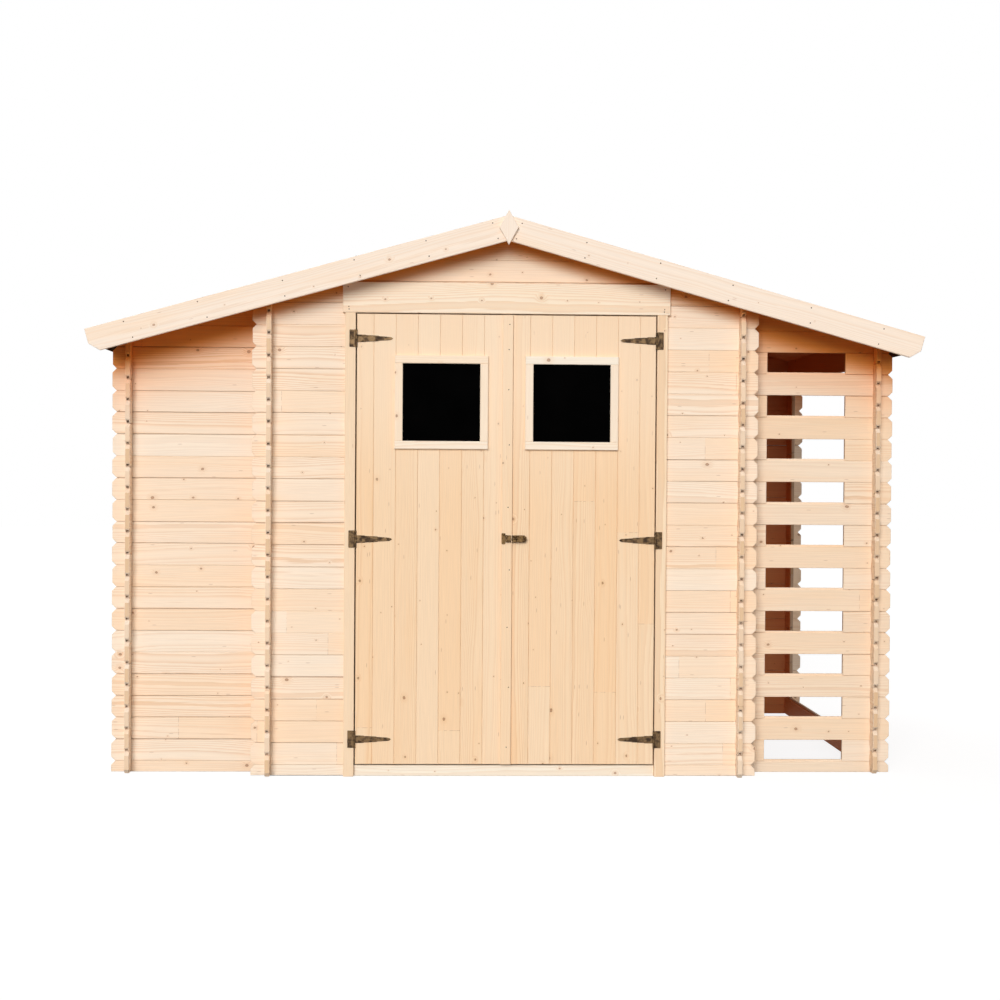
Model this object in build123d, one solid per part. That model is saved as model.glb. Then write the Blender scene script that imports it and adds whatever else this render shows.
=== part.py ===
# Garden shed of interlocking boards with a side log store, in millimetres.
# The origin is on the ground under the middle of the roof, +Z is up and -Y faces the doors.
# Boards of the front and rear walls run along X, boards of the side walls run along Y.
from build123d import *
import math
import os

# Wall boards
board_thickness = 19.0
course_height = 88.0
corner_overhang = 60.0
ear_chamfer = 16.0
fit_gap = 0.3
cut_overrun = 50.0

# Plan of the walls, between board centre lines
room_width = 1890.0
bay_width = 570.0
room_depth = 1956.0
bay_setback = 104.0
return_length = 115.0
side_head_boards = 1
passage_head_boards = 2

# Tongue along the upper edge of a board and groove along its lower edge, bare in the log store front
tongue_height = 8.0
tongue_thickness = 6.0
groove_depth = 9.0
groove_width = 7.0

# Roof, measured up from the door head and out from the side walls
roof_pitch = 15.6
gable_rise = 357.0
eave_overhang = 115.5
roof_board = 18.0
felt_thickness = 3.0
felt_drop = 76.0
gable_overhang = 130.0
barge_width = 96.0
barge_thickness = 19.0
barge_overrun = 8.0
barge_clip = 36.0
finial_width = 76.0
finial_height = 138.0
finial_thickness = 16.0
ridge_beam_width = 45.0
ridge_beam_depth = 95.0

# Doorway
door_opening = 1206.0
door_top = 1848.0
door_head_gap = 5.0
sill_gap = 6.0
jamb_width = 42.0
jamb_proud = 19.0
jamb_behind = 19.0
jamb_groove = 12.0
head_width = 122.0
head_lap = 10.0
head_thickness = 19.0

# Door leaves
leaf_board = 16.0
leaf_side_gap = 5.0
meeting_line = 22.5
meeting_gap = 6.0
strip_width = 37.0
strip_thickness = 9.0
ledge_width = 88.0
ledge_thickness = 19.0
ledge_inset = 32.0
hinge_inset_top = 98.0
hinge_inset_bottom = 100.0

# Door windows
window_offset = 260.5
window_ledge_gap = 22.0
pane_sight = 309.0
pane_lap = 8.0
pane_thickness = 4.0
pane_play = 0.5
frame_width = 32.0
frame_front = 14.0
frame_rear = 12.0

# Tee hinges
hinge_sheet = 2.5
hinge_plate_width = 25.0
hinge_plate_height = 69.0
knuckle_radius = 4.5
pin_radius = 2.0
pin_play = 0.25
strap_length = 146.0
strap_root = 31.0
strap_tip = 11.0
knuckle_play = 0.5

# Door bolt
bolt_above_hinge = 5.0
bolt_sheet = 2.0
keep_plate_width = 16.0
keep_plate_height = 44.0
bolt_body_height = 27.0
bolt_body_rise = 21.0
bolt_body_end = 83.0
bolt_radius = 4.5
bolt_play = 0.5
bolt_axis_rise = 15.0
bolt_travel = 16.0
bolt_length = 44.0
bolt_backset = 2.0
knob_radius = 3.5
knob_rise = 6.0

# Values worked out from the sizes above
half_course = course_height / 2
quarter_course = course_height / 4
half_board = board_thickness / 2
room_x = room_width / 2
outer_x = room_x + bay_width
front_y = -room_depth / 2
bay_y = front_y + bay_setback
rear_y = room_depth / 2
wall_face_y = front_y - half_board
jamb_face_y = wall_face_y - jamb_proud
slope = math.tan(math.radians(roof_pitch))
slope_cos = math.cos(math.radians(roof_pitch))
slope_sin = math.sin(math.radians(roof_pitch))
head_underside = door_top + door_head_gap
ridge_underside = head_underside + gable_rise
roof_half_span = outer_x + half_board + eave_overhang
eave_length = roof_half_span / slope_cos
felt_bottom = roof_board + fit_gap
felt_top = felt_bottom + felt_thickness
barge_face_y = wall_face_y - gable_overhang
barge_back_y = barge_face_y + barge_thickness
roof_half_depth = -barge_back_y - fit_gap
above_roof = ridge_underside + course_height
door_half = door_opening / 2
head_length = door_opening + 2 * (jamb_width + head_lap)
leaf_bottom = half_course + sill_gap
hinge_x = door_half - leaf_side_gap / 2
hinge_y = jamb_face_y - knuckle_radius
lowest_hinge = leaf_bottom + hinge_inset_bottom
highest_hinge = door_top - hinge_inset_top
middle_hinge = (lowest_hinge + highest_hinge) / 2
hinge_heights = (lowest_hinge, middle_hinge, highest_hinge)
frame_outer = pane_sight + 2 * frame_width
window_height = highest_hinge - ledge_width / 2 - window_ledge_gap - frame_outer / 2
bolt_height = middle_hinge + bolt_above_hinge


def roof_underside(x):
    """Height of the roof boards' lower face over a point."""
    return ridge_underside - abs(x) * slope


def roof_point(along, up, side=1):
    """A point of the roof's section: along the slope from the ridge, and up from the lower face."""
    x = along * slope_cos + up * slope_sin
    z = ridge_underside - along * slope_sin + up * slope_cos
    return (side * x, z)


def ridge_point(up):
    """The point of the roof's section over the ridge line, at a height above the lower face."""
    return (0.0, ridge_underside + up / slope_cos)


def prism_along_y(points, y_low, y_high):
    """A solid with an outline in X and Z, reaching from one depth to another."""
    face = make_face(Polyline(*points, close=True))
    upright = extrude(Plane.XZ * face, amount=y_high - y_low)
    return Pos(0, y_high, 0) * upright


def block(x_low, x_high, y_low, y_high, z_low, z_high):
    """A square-edged solid between two corners."""
    low_corner = (Align.MIN, Align.MIN, Align.MIN)
    return Pos(x_low, y_low, z_low) * Box(x_high - x_low, y_high - y_low, z_high - z_low, align=low_corner)


def rod(start, direction, radius, length):
    """A round bar from a point along a direction."""
    return extrude(Plane(start, z_dir=direction) * Circle(radius), amount=length)


# The space that the roof boards fill, cut from every wall that reaches them
def roof_space():
    reach = roof_half_span + cut_overrun
    half_depth = roof_half_depth + cut_overrun
    outline = [
        (0, ridge_underside - fit_gap),
        (reach, roof_underside(reach) - fit_gap),
        (reach, above_roof + cut_overrun),
        (-reach, above_roof + cut_overrun),
        (-reach, roof_underside(reach) - fit_gap),
    ]
    return prism_along_y(outline, -half_depth, half_depth)


# Interlocked corners
# Boards of the two walls are half a course out of step. Each is notched a quarter of its
# height above and below, so that the necks of both walls fill a crossing in turn.
def crossing_levels(x):
    """Heights at which a crossing changes from one wall's necks to the other's."""
    highest = roof_underside(abs(x) + half_board) - quarter_course
    levels = [quarter_course]
    while levels[-1] + half_course < highest:
        levels.append(levels[-1] + half_course)
    return levels


def neck_spans(x, along_x):
    """Low and high ends of the necks in a crossing that belong to the wall along X, or to the other."""
    edges = [-cut_overrun] + crossing_levels(x) + [above_roof + cut_overrun]
    first = 0 if along_x else 1
    return [(edges[i], edges[i + 1]) for i in range(first, len(edges) - 1, 2)]


def notch_cuts(u, spans):
    """Slots of a wall's face at a crossing, one for each neck of the other wall."""
    width = board_thickness + 2 * fit_gap
    return [Pos(u, (low + high) / 2) * Rectangle(width, high - low + fit_gap) for low, high in spans]


def ear_cuts(u, joints):
    """Corners clipped from the free ends of the boards, a vee at each joint."""
    side = ear_chamfer * math.sqrt(2)
    return [Pos(u, z) * Rot(0, 0, 45) * Rectangle(side, side) for z in joints]


def joints_between(first_joint, z_low, z_high):
    """Heights of the joints between boards, from one height to another."""
    count = int((above_roof - first_joint) / course_height) + 1
    joints = [first_joint + course_height * k for k in range(count)]
    return [z for z in joints if z_low <= z <= z_high]


def wall_face(u_low, u_high, z_low, z_high, cuts):
    """The outline of a wall with its slots and clipped board ends."""
    size = (u_high - u_low, z_high - z_low)
    face = Pos((u_low + u_high) / 2, (z_low + z_high) / 2) * Rectangle(*size)
    return face - cuts if cuts else face


def wall_along_x(x_low, x_high, y, z_low, z_high, crossings, free_ends):
    """A stretch of wall whose boards run along X, under the roof."""
    cuts = [cut for x in crossings for cut in notch_cuts(x, neck_spans(x, False))]
    joints = joints_between(half_course, z_low, z_high)
    cuts += [cut for x in free_ends for cut in ear_cuts(x, joints)]
    face = wall_face(x_low, x_high, z_low, z_high, cuts)
    return Pos(0, y, 0) * extrude(Plane.XZ * face, amount=half_board, both=True) - roof_space()


def wall_along_y(y_low, y_high, x, z_low, z_high, crossings, free_ends):
    """A stretch of wall whose boards run along Y, under the roof."""
    cuts = [cut for y in crossings for cut in notch_cuts(y, neck_spans(x, True))]
    joints = joints_between(0, z_low, z_high)
    cuts += [cut for y in free_ends for cut in ear_cuts(y, joints)]
    face = wall_face(y_low, y_high, z_low, z_high, cuts)
    return Pos(x, 0, 0) * extrude(Plane.YZ * face, amount=half_board, both=True) - roof_space()


def course_of_x(course):
    """Low and high edges of one board of a wall along X. The lowest board is half a course."""
    return half_course + course * course_height, half_course + (course + 1) * course_height


def head_joint(x, boards):
    """Height of the joint under the whole boards that close the top of an open side."""
    whole_boards = int(roof_underside(abs(x) + half_board) / course_height)
    return (whole_boards - boards) * course_height


# Ends of the walls
end_past = half_board + corner_overhang
front_end_y = front_y - end_past
bay_end_y = bay_y - end_past
rear_end_y = rear_y + end_past
outer_end_x = outer_x + end_past
room_end_x = room_x + end_past
bay_inner_x = room_x - end_past
front_return_y = bay_y + half_board + return_length
rear_return_y = rear_y - half_board - return_length


def ridge_beam_outline(clearance):
    """Section of the ridge beam, with its upper corners planed to the roof's slope."""
    half = ridge_beam_width / 2 + clearance
    seat = ridge_underside - fit_gap
    bottom = seat - ridge_beam_depth - clearance
    shoulder = seat - half * slope
    return [(0, seat + clearance), (half, shoulder + clearance), (half, bottom), (-half, bottom),
            (-half, shoulder + clearance)]


# Front wall of the room, split beside and over the doorway
def front_walls():
    jamb_outer = door_half + jamb_width
    wall_end = jamb_outer - jamb_groove + fit_gap
    left = wall_along_x(-room_end_x, -wall_end, front_y, 0, above_roof, [-room_x], [-room_end_x])
    right = wall_along_x(wall_end, room_end_x, front_y, 0, above_roof, [room_x], [room_end_x])
    over_end = wall_end - fit_gap
    over = wall_along_x(-over_end, over_end, front_y, head_underside, above_roof, [], [])
    beam_pocket = prism_along_y(ridge_beam_outline(fit_gap), front_y, front_y + cut_overrun)
    return {"front_wall_left": left, "front_wall_right": right, "front_gable": over - beam_pocket}


# Door frame: grooved jambs that hold the ends of the wall boards, a sill board and a head board
def door_frame():
    made = {}
    jamb_back_y = front_y + half_board + jamb_behind
    for side, name in ((-1, "left_jamb"), (1, "right_jamb")):
        inner, outer = side * door_half, side * (door_half + jamb_width)
        top = head_underside - fit_gap
        post = block(min(inner, outer), max(inner, outer), jamb_face_y, jamb_back_y, 0, top)
        slot_low, slot_high = sorted((outer - side * jamb_groove, outer + side * cut_overrun))
        slot_y = half_board + fit_gap
        slot = block(slot_low, slot_high, front_y - slot_y, front_y + slot_y, -cut_overrun, above_roof)
        made[name] = post - slot
    sill_end = door_half - fit_gap
    made["door_sill"] = block(-sill_end, sill_end, front_y - half_board, front_y + half_board, 0, half_course)
    head_face = wall_face_y - fit_gap
    made["door_head"] = block(-head_length / 2, head_length / 2, head_face - head_thickness, head_face,
                              head_underside, head_underside + head_width)
    return made


# Closed bay on the left, open to the room between two short returns
def store_bay():
    passage_top = head_joint(room_x, passage_head_boards)
    x_ends = (-outer_end_x, -bay_inner_x)
    y_ends = (bay_end_y, rear_end_y)
    front = wall_along_x(*x_ends, bay_y, 0, above_roof, [-outer_x, -room_x], x_ends)
    side = wall_along_y(*y_ends, -outer_x, 0, above_roof, [bay_y, rear_y], y_ends)
    front_return = wall_along_y(front_end_y, front_return_y, -room_x, 0, passage_top, [front_y, bay_y],
                                [front_end_y])
    rear_return = wall_along_y(rear_return_y, rear_end_y, -room_x, 0, passage_top, [rear_y], [rear_end_y])
    passage_ends = (front_end_y, rear_end_y)
    crossings = [front_y, bay_y, rear_y]
    head = wall_along_y(*passage_ends, -room_x, passage_top, above_roof, crossings, passage_ends)
    return {"store_front_wall": front, "store_side_wall": side, "passage_head": head,
            "passage_returns": Compound(children=[front_return, rear_return])}


# Rear wall across the whole width
def rear_wall():
    ends = (-outer_end_x, outer_end_x)
    wall = wall_along_x(*ends, rear_y, 0, above_roof, [-outer_x, -room_x, room_x, outer_x], ends)
    beam_pocket = prism_along_y(ridge_beam_outline(fit_gap), rear_y - cut_overrun, rear_y)
    return wall - beam_pocket


# Bare tongue and groove of the log store's boards, where no block covers them
def tongue(x_low, x_high, z):
    half = tongue_thickness / 2
    root, top = z - groove_depth, z + tongue_height
    return block(x_low + fit_gap, x_high - fit_gap, bay_y - half, bay_y + half, root, top)


def groove(x_low, x_high, z):
    half = groove_width / 2
    return block(x_low, x_high, bay_y - half, bay_y + half, z - cut_overrun, z + groove_depth)


# Log store on the right: every other board of its front is left out between short blocks,
# and its side is open between a low board, a top board and two stacks of short boards
def log_store():
    ends = (bay_inner_x, outer_end_x)
    crossings = [room_x, outer_x]
    gap_low = room_x + half_board + return_length
    gap_high = outer_x - half_board - return_length
    courses_below_eave = (roof_underside(outer_end_x) - half_course - quarter_course) / course_height
    slat_count = int((courses_below_eave - 1) / 2)
    slats_and_gaps = 2 * slat_count + 1
    slats, blocks = [], []
    for course in range(slats_and_gaps):
        low, high = course_of_x(course)
        if course % 2:
            slat = wall_along_x(*ends, bay_y, low, high, crossings, ends)
            slats.append(slat + tongue(gap_low, gap_high, high) - groove(gap_low, gap_high, low))
        else:
            blocks.append(wall_along_x(ends[0], gap_low, bay_y, low, high, [room_x], [ends[0]]))
            blocks.append(wall_along_x(gap_high, ends[1], bay_y, low, high, [outer_x], [ends[1]]))
    head_low = course_of_x(slats_and_gaps)[0]
    sill = wall_along_x(*ends, bay_y, 0, half_course, crossings, ends)
    head = wall_along_x(*ends, bay_y, head_low, above_roof, crossings, ends)
    side_top = head_joint(outer_x, side_head_boards)
    y_ends = (bay_end_y, rear_end_y)
    returns = [
        wall_along_y(bay_end_y, front_return_y, outer_x, course_height, side_top, [bay_y], [bay_end_y]),
        wall_along_y(rear_return_y, rear_end_y, outer_x, course_height, side_top, [rear_y], [rear_end_y]),
    ]
    partition_ends = (front_end_y, rear_end_y)
    partition = wall_along_y(*partition_ends, room_x, 0, above_roof, [front_y, bay_y, rear_y], partition_ends)
    return {
        "log_partition": partition,
        "log_front_sill": sill + tongue(gap_low, gap_high, half_course),
        "log_front_slats": Compound(children=slats),
        "log_front_blocks": Compound(children=blocks),
        "log_front_head": head - groove(gap_low, gap_high, head_low),
        "log_side_sill": wall_along_y(*y_ends, outer_x, 0, course_height, [bay_y, rear_y], y_ends),
        "log_side_head": wall_along_y(*y_ends, outer_x, side_top, above_roof, [bay_y, rear_y], y_ends),
        "log_side_returns": Compound(children=returns),
    }


# Roof: ridge beam let into both gables, boards on the two slopes, felt, barge boards and finials
def roof():
    made = {"ridge_beam": prism_along_y(ridge_beam_outline(0), front_y + fit_gap, rear_y - fit_gap)}
    for side, name in ((-1, "left"), (1, "right")):
        made[f"roof_boards_{name}"] = prism_along_y(slope_outline(side), -roof_half_depth, roof_half_depth)
        for barge_name, y_low in (("front", barge_face_y), ("rear", -barge_back_y)):
            barge = prism_along_y(barge_outline(side), y_low, y_low + barge_thickness)
            made[f"{barge_name}_barge_{name}"] = barge
    made["roof_felt"] = prism_along_y(felt_outline(), -roof_half_depth, roof_half_depth)
    finial_back_y = barge_face_y - fit_gap
    front_finial = prism_along_y(finial_outline(), finial_back_y - finial_thickness, finial_back_y)
    made["finials"] = Compound(children=[front_finial, Rot(0, 0, 180) * front_finial])
    return made


def slope_outline(side):
    """The boards of one slope, mitred at the ridge and square at the eave."""
    mitre = side * fit_gap / 2
    ridge_low, ridge_high = ridge_point(0)[1], ridge_point(roof_board)[1]
    return [(mitre, ridge_low), roof_point(eave_length, 0, side), roof_point(eave_length, roof_board, side),
            (mitre, ridge_high)]


def barge_outline(side):
    """A barge board: flush with the felt, square at the eave with its lower corner clipped."""
    end = eave_length + fit_gap + felt_thickness + barge_overrun
    bottom = felt_top - barge_width
    mitre = side * fit_gap / 2
    ridge_low, ridge_high = ridge_point(bottom)[1], ridge_point(felt_top)[1]
    return [(mitre, ridge_high), roof_point(end, felt_top, side), roof_point(end, bottom + barge_clip, side),
            roof_point(end - barge_clip, bottom, side), (mitre, ridge_low)]


def felt_outline():
    """The felt, bent over the ridge and turned down at both eaves."""
    turn_inner = eave_length + fit_gap
    turn_outer = turn_inner + felt_thickness
    drop = felt_top - felt_drop

    def half(side):
        return [roof_point(turn_outer, felt_top, side), roof_point(turn_outer, drop, side),
                roof_point(turn_inner, drop, side), roof_point(turn_inner, felt_bottom, side)]

    return [ridge_point(felt_top), *half(1), ridge_point(felt_bottom), *reversed(half(-1))]


def finial_outline():
    """A diamond over the mitre of the barge boards."""
    middle = ridge_underside + (felt_top - barge_width / 2) / slope_cos
    half_width, half_height = finial_width / 2, finial_height / 2
    return [(0, middle + half_height), (half_width, middle), (0, middle - half_height), (-half_width, middle)]


# Door leaves: upright boards on three ledges and a brace, with a square window
def leaf_edges(side):
    """Hinge edge and meeting edge of a leaf."""
    return side * (door_half - leaf_side_gap), meeting_line + side * meeting_gap / 2


def frame_boards(x, y_low, y_high):
    """Four boards round a window: two across its whole width, and two uprights between them."""
    outer, inner = frame_outer / 2, pane_sight / 2
    made = []
    for side in (-1, 1):
        z_low, z_high = sorted((window_height + side * inner, window_height + side * outer))
        made.append(block(x - outer, x + outer, y_low, y_high, z_low, z_high))
        x_low, x_high = sorted((x + side * inner, x + side * outer))
        reach = inner - fit_gap
        made.append(block(x_low, x_high, y_low, y_high, window_height - reach, window_height + reach))
    return made


def door_leaf(side, name):
    hinge_edge, meeting_edge = leaf_edges(side)
    x_low, x_high = min(hinge_edge, meeting_edge), max(hinge_edge, meeting_edge)
    back_y = jamb_face_y + leaf_board
    window_x = side * window_offset
    hole = pane_sight + 2 * pane_lap
    boards = block(x_low, x_high, jamb_face_y, back_y, leaf_bottom, door_top)
    cut = hole / 2
    boards -= block(window_x - cut, window_x + cut, jamb_face_y - cut_overrun, back_y + cut_overrun,
                    window_height - cut, window_height + cut)
    pane_size = hole / 2 - pane_play
    pane_y = jamb_face_y + fit_gap
    pane = block(window_x - pane_size, window_x + pane_size, pane_y, pane_y + pane_thickness,
                 window_height - pane_size, window_height + pane_size)
    front_y_high = jamb_face_y - fit_gap
    rear_y_low = back_y + fit_gap
    frames = frame_boards(window_x, front_y_high - frame_front, front_y_high)
    frames += frame_boards(window_x, rear_y_low, rear_y_low + frame_rear)
    return {
        f"{name}_door_boards": boards,
        f"{name}_door_ledges": Compound(children=door_ledges(side, x_low, x_high, rear_y_low)),
        f"{name}_window_frame": Compound(children=frames),
        f"{name}_window_pane": pane,
    }


def door_ledges(side, x_low, x_high, y_low):
    """Three level ledges behind a leaf, and a brace that rises from the lowest hinge."""
    y_high = y_low + ledge_thickness
    half = ledge_width / 2
    low, high = x_low + ledge_inset, x_high - ledge_inset
    ledges = [block(low, high, y_low, y_high, z - half, z + half) for z in hinge_heights]
    foot, top = hinge_heights[0] + half + fit_gap, hinge_heights[1] - half - fit_gap
    hinge_end, meeting_end = (high, low) if side > 0 else (low, high)
    across = ledge_width * side
    brace = [(hinge_end, foot), (hinge_end - across, foot), (meeting_end, top), (meeting_end + across, top)]
    return ledges + [prism_along_y(brace, y_low, y_high)]


# Tee hinges: a plate on the jamb with two knuckles and the pin, a strap on the leaf with one knuckle
def hinge_plate(side, z):
    half_height = hinge_plate_height / 2
    axis_x = side * hinge_x
    far_x = axis_x + side * (leaf_side_gap / 2 + hinge_plate_width)
    back_y = jamb_face_y - fit_gap
    plate = block(min(axis_x, far_x), max(axis_x, far_x), back_y - hinge_sheet, back_y, z - half_height,
                  z + half_height)
    axis_low = (axis_x, hinge_y - fit_gap, z - half_height)
    half_gap = strap_root / 2 + knuckle_play
    gap_reach = knuckle_radius + fit_gap
    gap = block(axis_x - gap_reach, axis_x + gap_reach, hinge_y - fit_gap - gap_reach, jamb_face_y,
                z - half_gap, z + half_gap)
    knuckles = rod(axis_low, (0, 0, 1), knuckle_radius, hinge_plate_height)
    pin = rod(axis_low, (0, 0, 1), pin_radius, hinge_plate_height)
    return plate + knuckles - gap + pin


def hinge_strap(side, z):
    axis_x = side * hinge_x
    half_root, half_tip = strap_root / 2, strap_tip / 2
    point_x = axis_x - side * strap_length
    tip_x = point_x + side * half_tip
    outline = [(axis_x, z - half_root), (axis_x, z + half_root), (tip_x, z + half_tip), (point_x, z),
               (tip_x, z - half_tip)]
    y_high = jamb_face_y - fit_gap
    strap = prism_along_y(outline, y_high - hinge_sheet, y_high)
    knuckle_low = (axis_x, hinge_y - fit_gap, z - half_root)
    strap += rod(knuckle_low, (0, 0, 1), knuckle_radius, strap_root)
    return strap - rod(knuckle_low, (0, 0, 1), pin_radius + pin_play, strap_root)


def hinges():
    plates = [hinge_plate(side, z) for side in (-1, 1) for z in hinge_heights]
    made = {"hinge_plates": Compound(children=plates)}
    for side, name in ((-1, "left"), (1, "right")):
        made[f"{name}_hinge_straps"] = Compound(children=[hinge_strap(side, z) for z in hinge_heights])
    return made


# Cover strip on the left leaf, and the bolt that ties the right leaf to it
# The keep is a plate, and two cheeks with a bridge over them that take the bolt's tip
def door_bolt():
    strip_right = leaf_edges(-1)[1]
    strip_left = strip_right - strip_width
    leaf_face = jamb_face_y - fit_gap
    strip_face = leaf_face - strip_thickness
    strip = block(strip_left, strip_right, strip_face, leaf_face, leaf_bottom, door_top)
    axis_y = leaf_face - bolt_axis_rise
    half_body = bolt_body_height / 2
    body_face = leaf_face - bolt_body_rise
    bore_radius = bolt_radius + bolt_play
    z_low, z_high = bolt_height - half_body, bolt_height + half_body

    keep_right = strip_left + keep_plate_width
    half_plate = keep_plate_height / 2
    seat = strip_face - fit_gap
    plate = block(strip_left, keep_right, seat - bolt_sheet, seat, bolt_height - half_plate,
                  bolt_height + half_plate)
    cheek_left = keep_right + fit_gap
    bridge_back = axis_y - bore_radius
    bridge = block(cheek_left, strip_right, bridge_back - bolt_sheet, bridge_back, z_low, z_high)
    cheek_y = (bridge_back + fit_gap, seat)
    upper_cheek = block(cheek_left, strip_right, *cheek_y, bolt_height + bore_radius, z_high)
    lower_cheek = block(cheek_left, strip_right, *cheek_y, z_low, bolt_height - bore_radius)
    keep = Compound(children=[plate, bridge, upper_cheek, lower_cheek])

    body_left = leaf_edges(1)[1]
    round_centre = bolt_body_end - half_body
    body = block(body_left, round_centre, body_face, leaf_face, z_low, z_high)
    body += rod((round_centre, leaf_face, bolt_height), (0, -1, 0), half_body, bolt_body_rise)
    bolt_left = body_left + bolt_backset
    bolt_right = bolt_left + bolt_length
    body -= rod((body_left, axis_y, bolt_height), (1, 0, 0), bore_radius, bolt_right + bolt_play - body_left)
    knob_x = bolt_left + bolt_length / 2
    slot_half = knob_radius + bolt_play
    slot_low, slot_high = knob_x - bolt_travel - slot_half, knob_x + slot_half
    body -= block(slot_low, slot_high, body_face - cut_overrun, axis_y, bolt_height - slot_half,
                  bolt_height + slot_half)

    bar = rod((bolt_left, axis_y, bolt_height), (1, 0, 0), bolt_radius, bolt_length)
    knob_length = axis_y - body_face + knob_rise
    bar += rod((knob_x, axis_y, bolt_height), (0, -1, 0), knob_radius, knob_length)
    return {"door_cover_strip": strip, "bolt_keep": keep, "bolt_body": body, "bolt_bar": bar}


shed = {**front_walls(), **door_frame(), **store_bay(), "rear_wall": rear_wall(), **log_store(), **roof()}
shed.update(door_leaf(-1, "left"))
shed.update(door_leaf(1, "right"))
shed.update(hinges())
shed.update(door_bolt())

os.makedirs("parts", exist_ok=True)
for node, shape in shed.items():
    export_step(shape, f"parts/{node}.step")
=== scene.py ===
import math
import random

import bmesh
import bpy
from mathutils import Matrix, Vector


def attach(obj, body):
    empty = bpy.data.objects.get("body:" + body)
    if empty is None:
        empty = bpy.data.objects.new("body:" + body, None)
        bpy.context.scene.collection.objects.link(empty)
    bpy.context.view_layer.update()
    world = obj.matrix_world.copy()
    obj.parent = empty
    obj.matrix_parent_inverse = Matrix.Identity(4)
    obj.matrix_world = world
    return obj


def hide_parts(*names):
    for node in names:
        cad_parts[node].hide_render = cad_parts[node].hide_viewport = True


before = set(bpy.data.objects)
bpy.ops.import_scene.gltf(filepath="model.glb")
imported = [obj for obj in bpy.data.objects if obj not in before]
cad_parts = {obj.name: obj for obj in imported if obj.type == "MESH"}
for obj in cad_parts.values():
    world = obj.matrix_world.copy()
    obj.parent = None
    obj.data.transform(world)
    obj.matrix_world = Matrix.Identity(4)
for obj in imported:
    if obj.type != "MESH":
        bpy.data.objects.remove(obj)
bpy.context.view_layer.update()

# Wall boards: planed spruce, 19 mm thick, tongued and grooved, laid course on course with a small vee
# along every joint. They are notched into the boards of the walls they cross, and their free ends
# are clipped.
thickness = 0.019
course = 0.088
half_course = course / 2
quarter_course = course / 4
clip = 0.016
vee = 0.0016
hair = 0.0002
groove_half, groove_deep = 0.0052, 0.010
tongue_half, tongue_height = 0.0044, 0.008
least_gap, gap_spread = 0.0001, 0.0026
end_play, face_play, heart_play = 0.0012, 0.0004, 0.05
joined_share = 0.3
ridge_height = 2.21
pitch = math.radians(15.6)
slope = math.tan(pitch)
roof_gap = 0.0004
room_x, outer_x = 0.945, 1.515
front_y, bay_y, rear_y = -0.978, -0.874, 0.978
on_ground = 0.001
far_off = 9.0
chance = random.Random(41)


def under_roof(x):
    """Height of the roof boards' lower face over a point."""
    return ridge_height - roof_gap - abs(x) * slope


def necks(x, along_x):
    """Low and high ends of the necks at a crossing that belong to the wall along X, or to the other wall."""
    levels = [quarter_course]
    while levels[-1] + half_course < under_roof(abs(x) + thickness / 2) - quarter_course:
        levels.append(levels[-1] + half_course)
    edges = [-far_off] + levels + [far_off]
    return [(edges[i], edges[i + 1]) for i in range(0 if along_x else 1, len(edges) - 1, 2)]


def board_outline(ends, heights, notches, clipped, grooved):
    """Outline of a board as u, v, and v in its core, where the groove lifts the lower edge and the tongue the upper.
    Notches cut the lower or the upper edge, and clipped names the ends and edges that lose a corner."""
    (start, end), (low, high) = ends, heights
    lift = low + groove_deep if grooved else low
    crest = high + tongue_height
    below = sorted(n for n in notches if n[2] <= low)
    above = sorted((n for n in notches if n[3] >= high), reverse=True)

    def corner(u, inward, edge, way):
        """Points of one corner, from the board's end to its edge: way is up from a lower edge, down from an upper."""
        core = lift if way > 0 else crest
        if ("start " if inward > 0 else "end ") + ("low" if way > 0 else "high") not in clipped:
            return [(u, edge, core)]
        if way > 0:
            meet = groove_deep if grooved else clip / 2
            side = (u + inward * (clip - meet), edge + meet, edge + meet)
            return [(u, edge + clip, edge + clip), side, (u + inward * clip, edge, core)]
        back = u + inward * (clip + tongue_height)
        return [(u, edge - clip, edge - clip), (u + inward * clip, edge, edge), (back, edge, core)]

    points = corner(start, 1, low, 1)
    for left, right, _, top in below:
        points += [(left, low, lift), (left, top, top), (right, top, top), (right, low, lift)]
    points += reversed(corner(end, -1, low, 1))
    points += corner(end, -1, high, -1)
    for left, right, bottom, _ in above:
        points += [(right, high, crest), (right, bottom, bottom), (left, bottom, bottom), (left, high, crest)]
    points += reversed(corner(start, 1, high, -1))
    return points


def drawn_in(outline, by):
    """The outline moved inwards by a chamfer."""
    moved = []
    for i, point in enumerate(outline):
        before, after = Vector(outline[i - 1]), Vector(outline[(i + 1) % len(outline)])
        here = Vector(point)
        first, second = (here - before).normalized(), (after - here).normalized()
        first, second = Vector((-first.y, first.x)), Vector((-second.y, second.x))
        moved.append(here + (first + second) * by / (1 + first.dot(second)))
    return moved


def new_work():
    """An empty mesh whose faces know the heart of the log, the tone of their board and if they lie in its groove."""
    work = bmesh.new()
    for name in ("heart", "tone", "groove"):
        work.faces.layers.float_vector.new(name)
    return work


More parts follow.
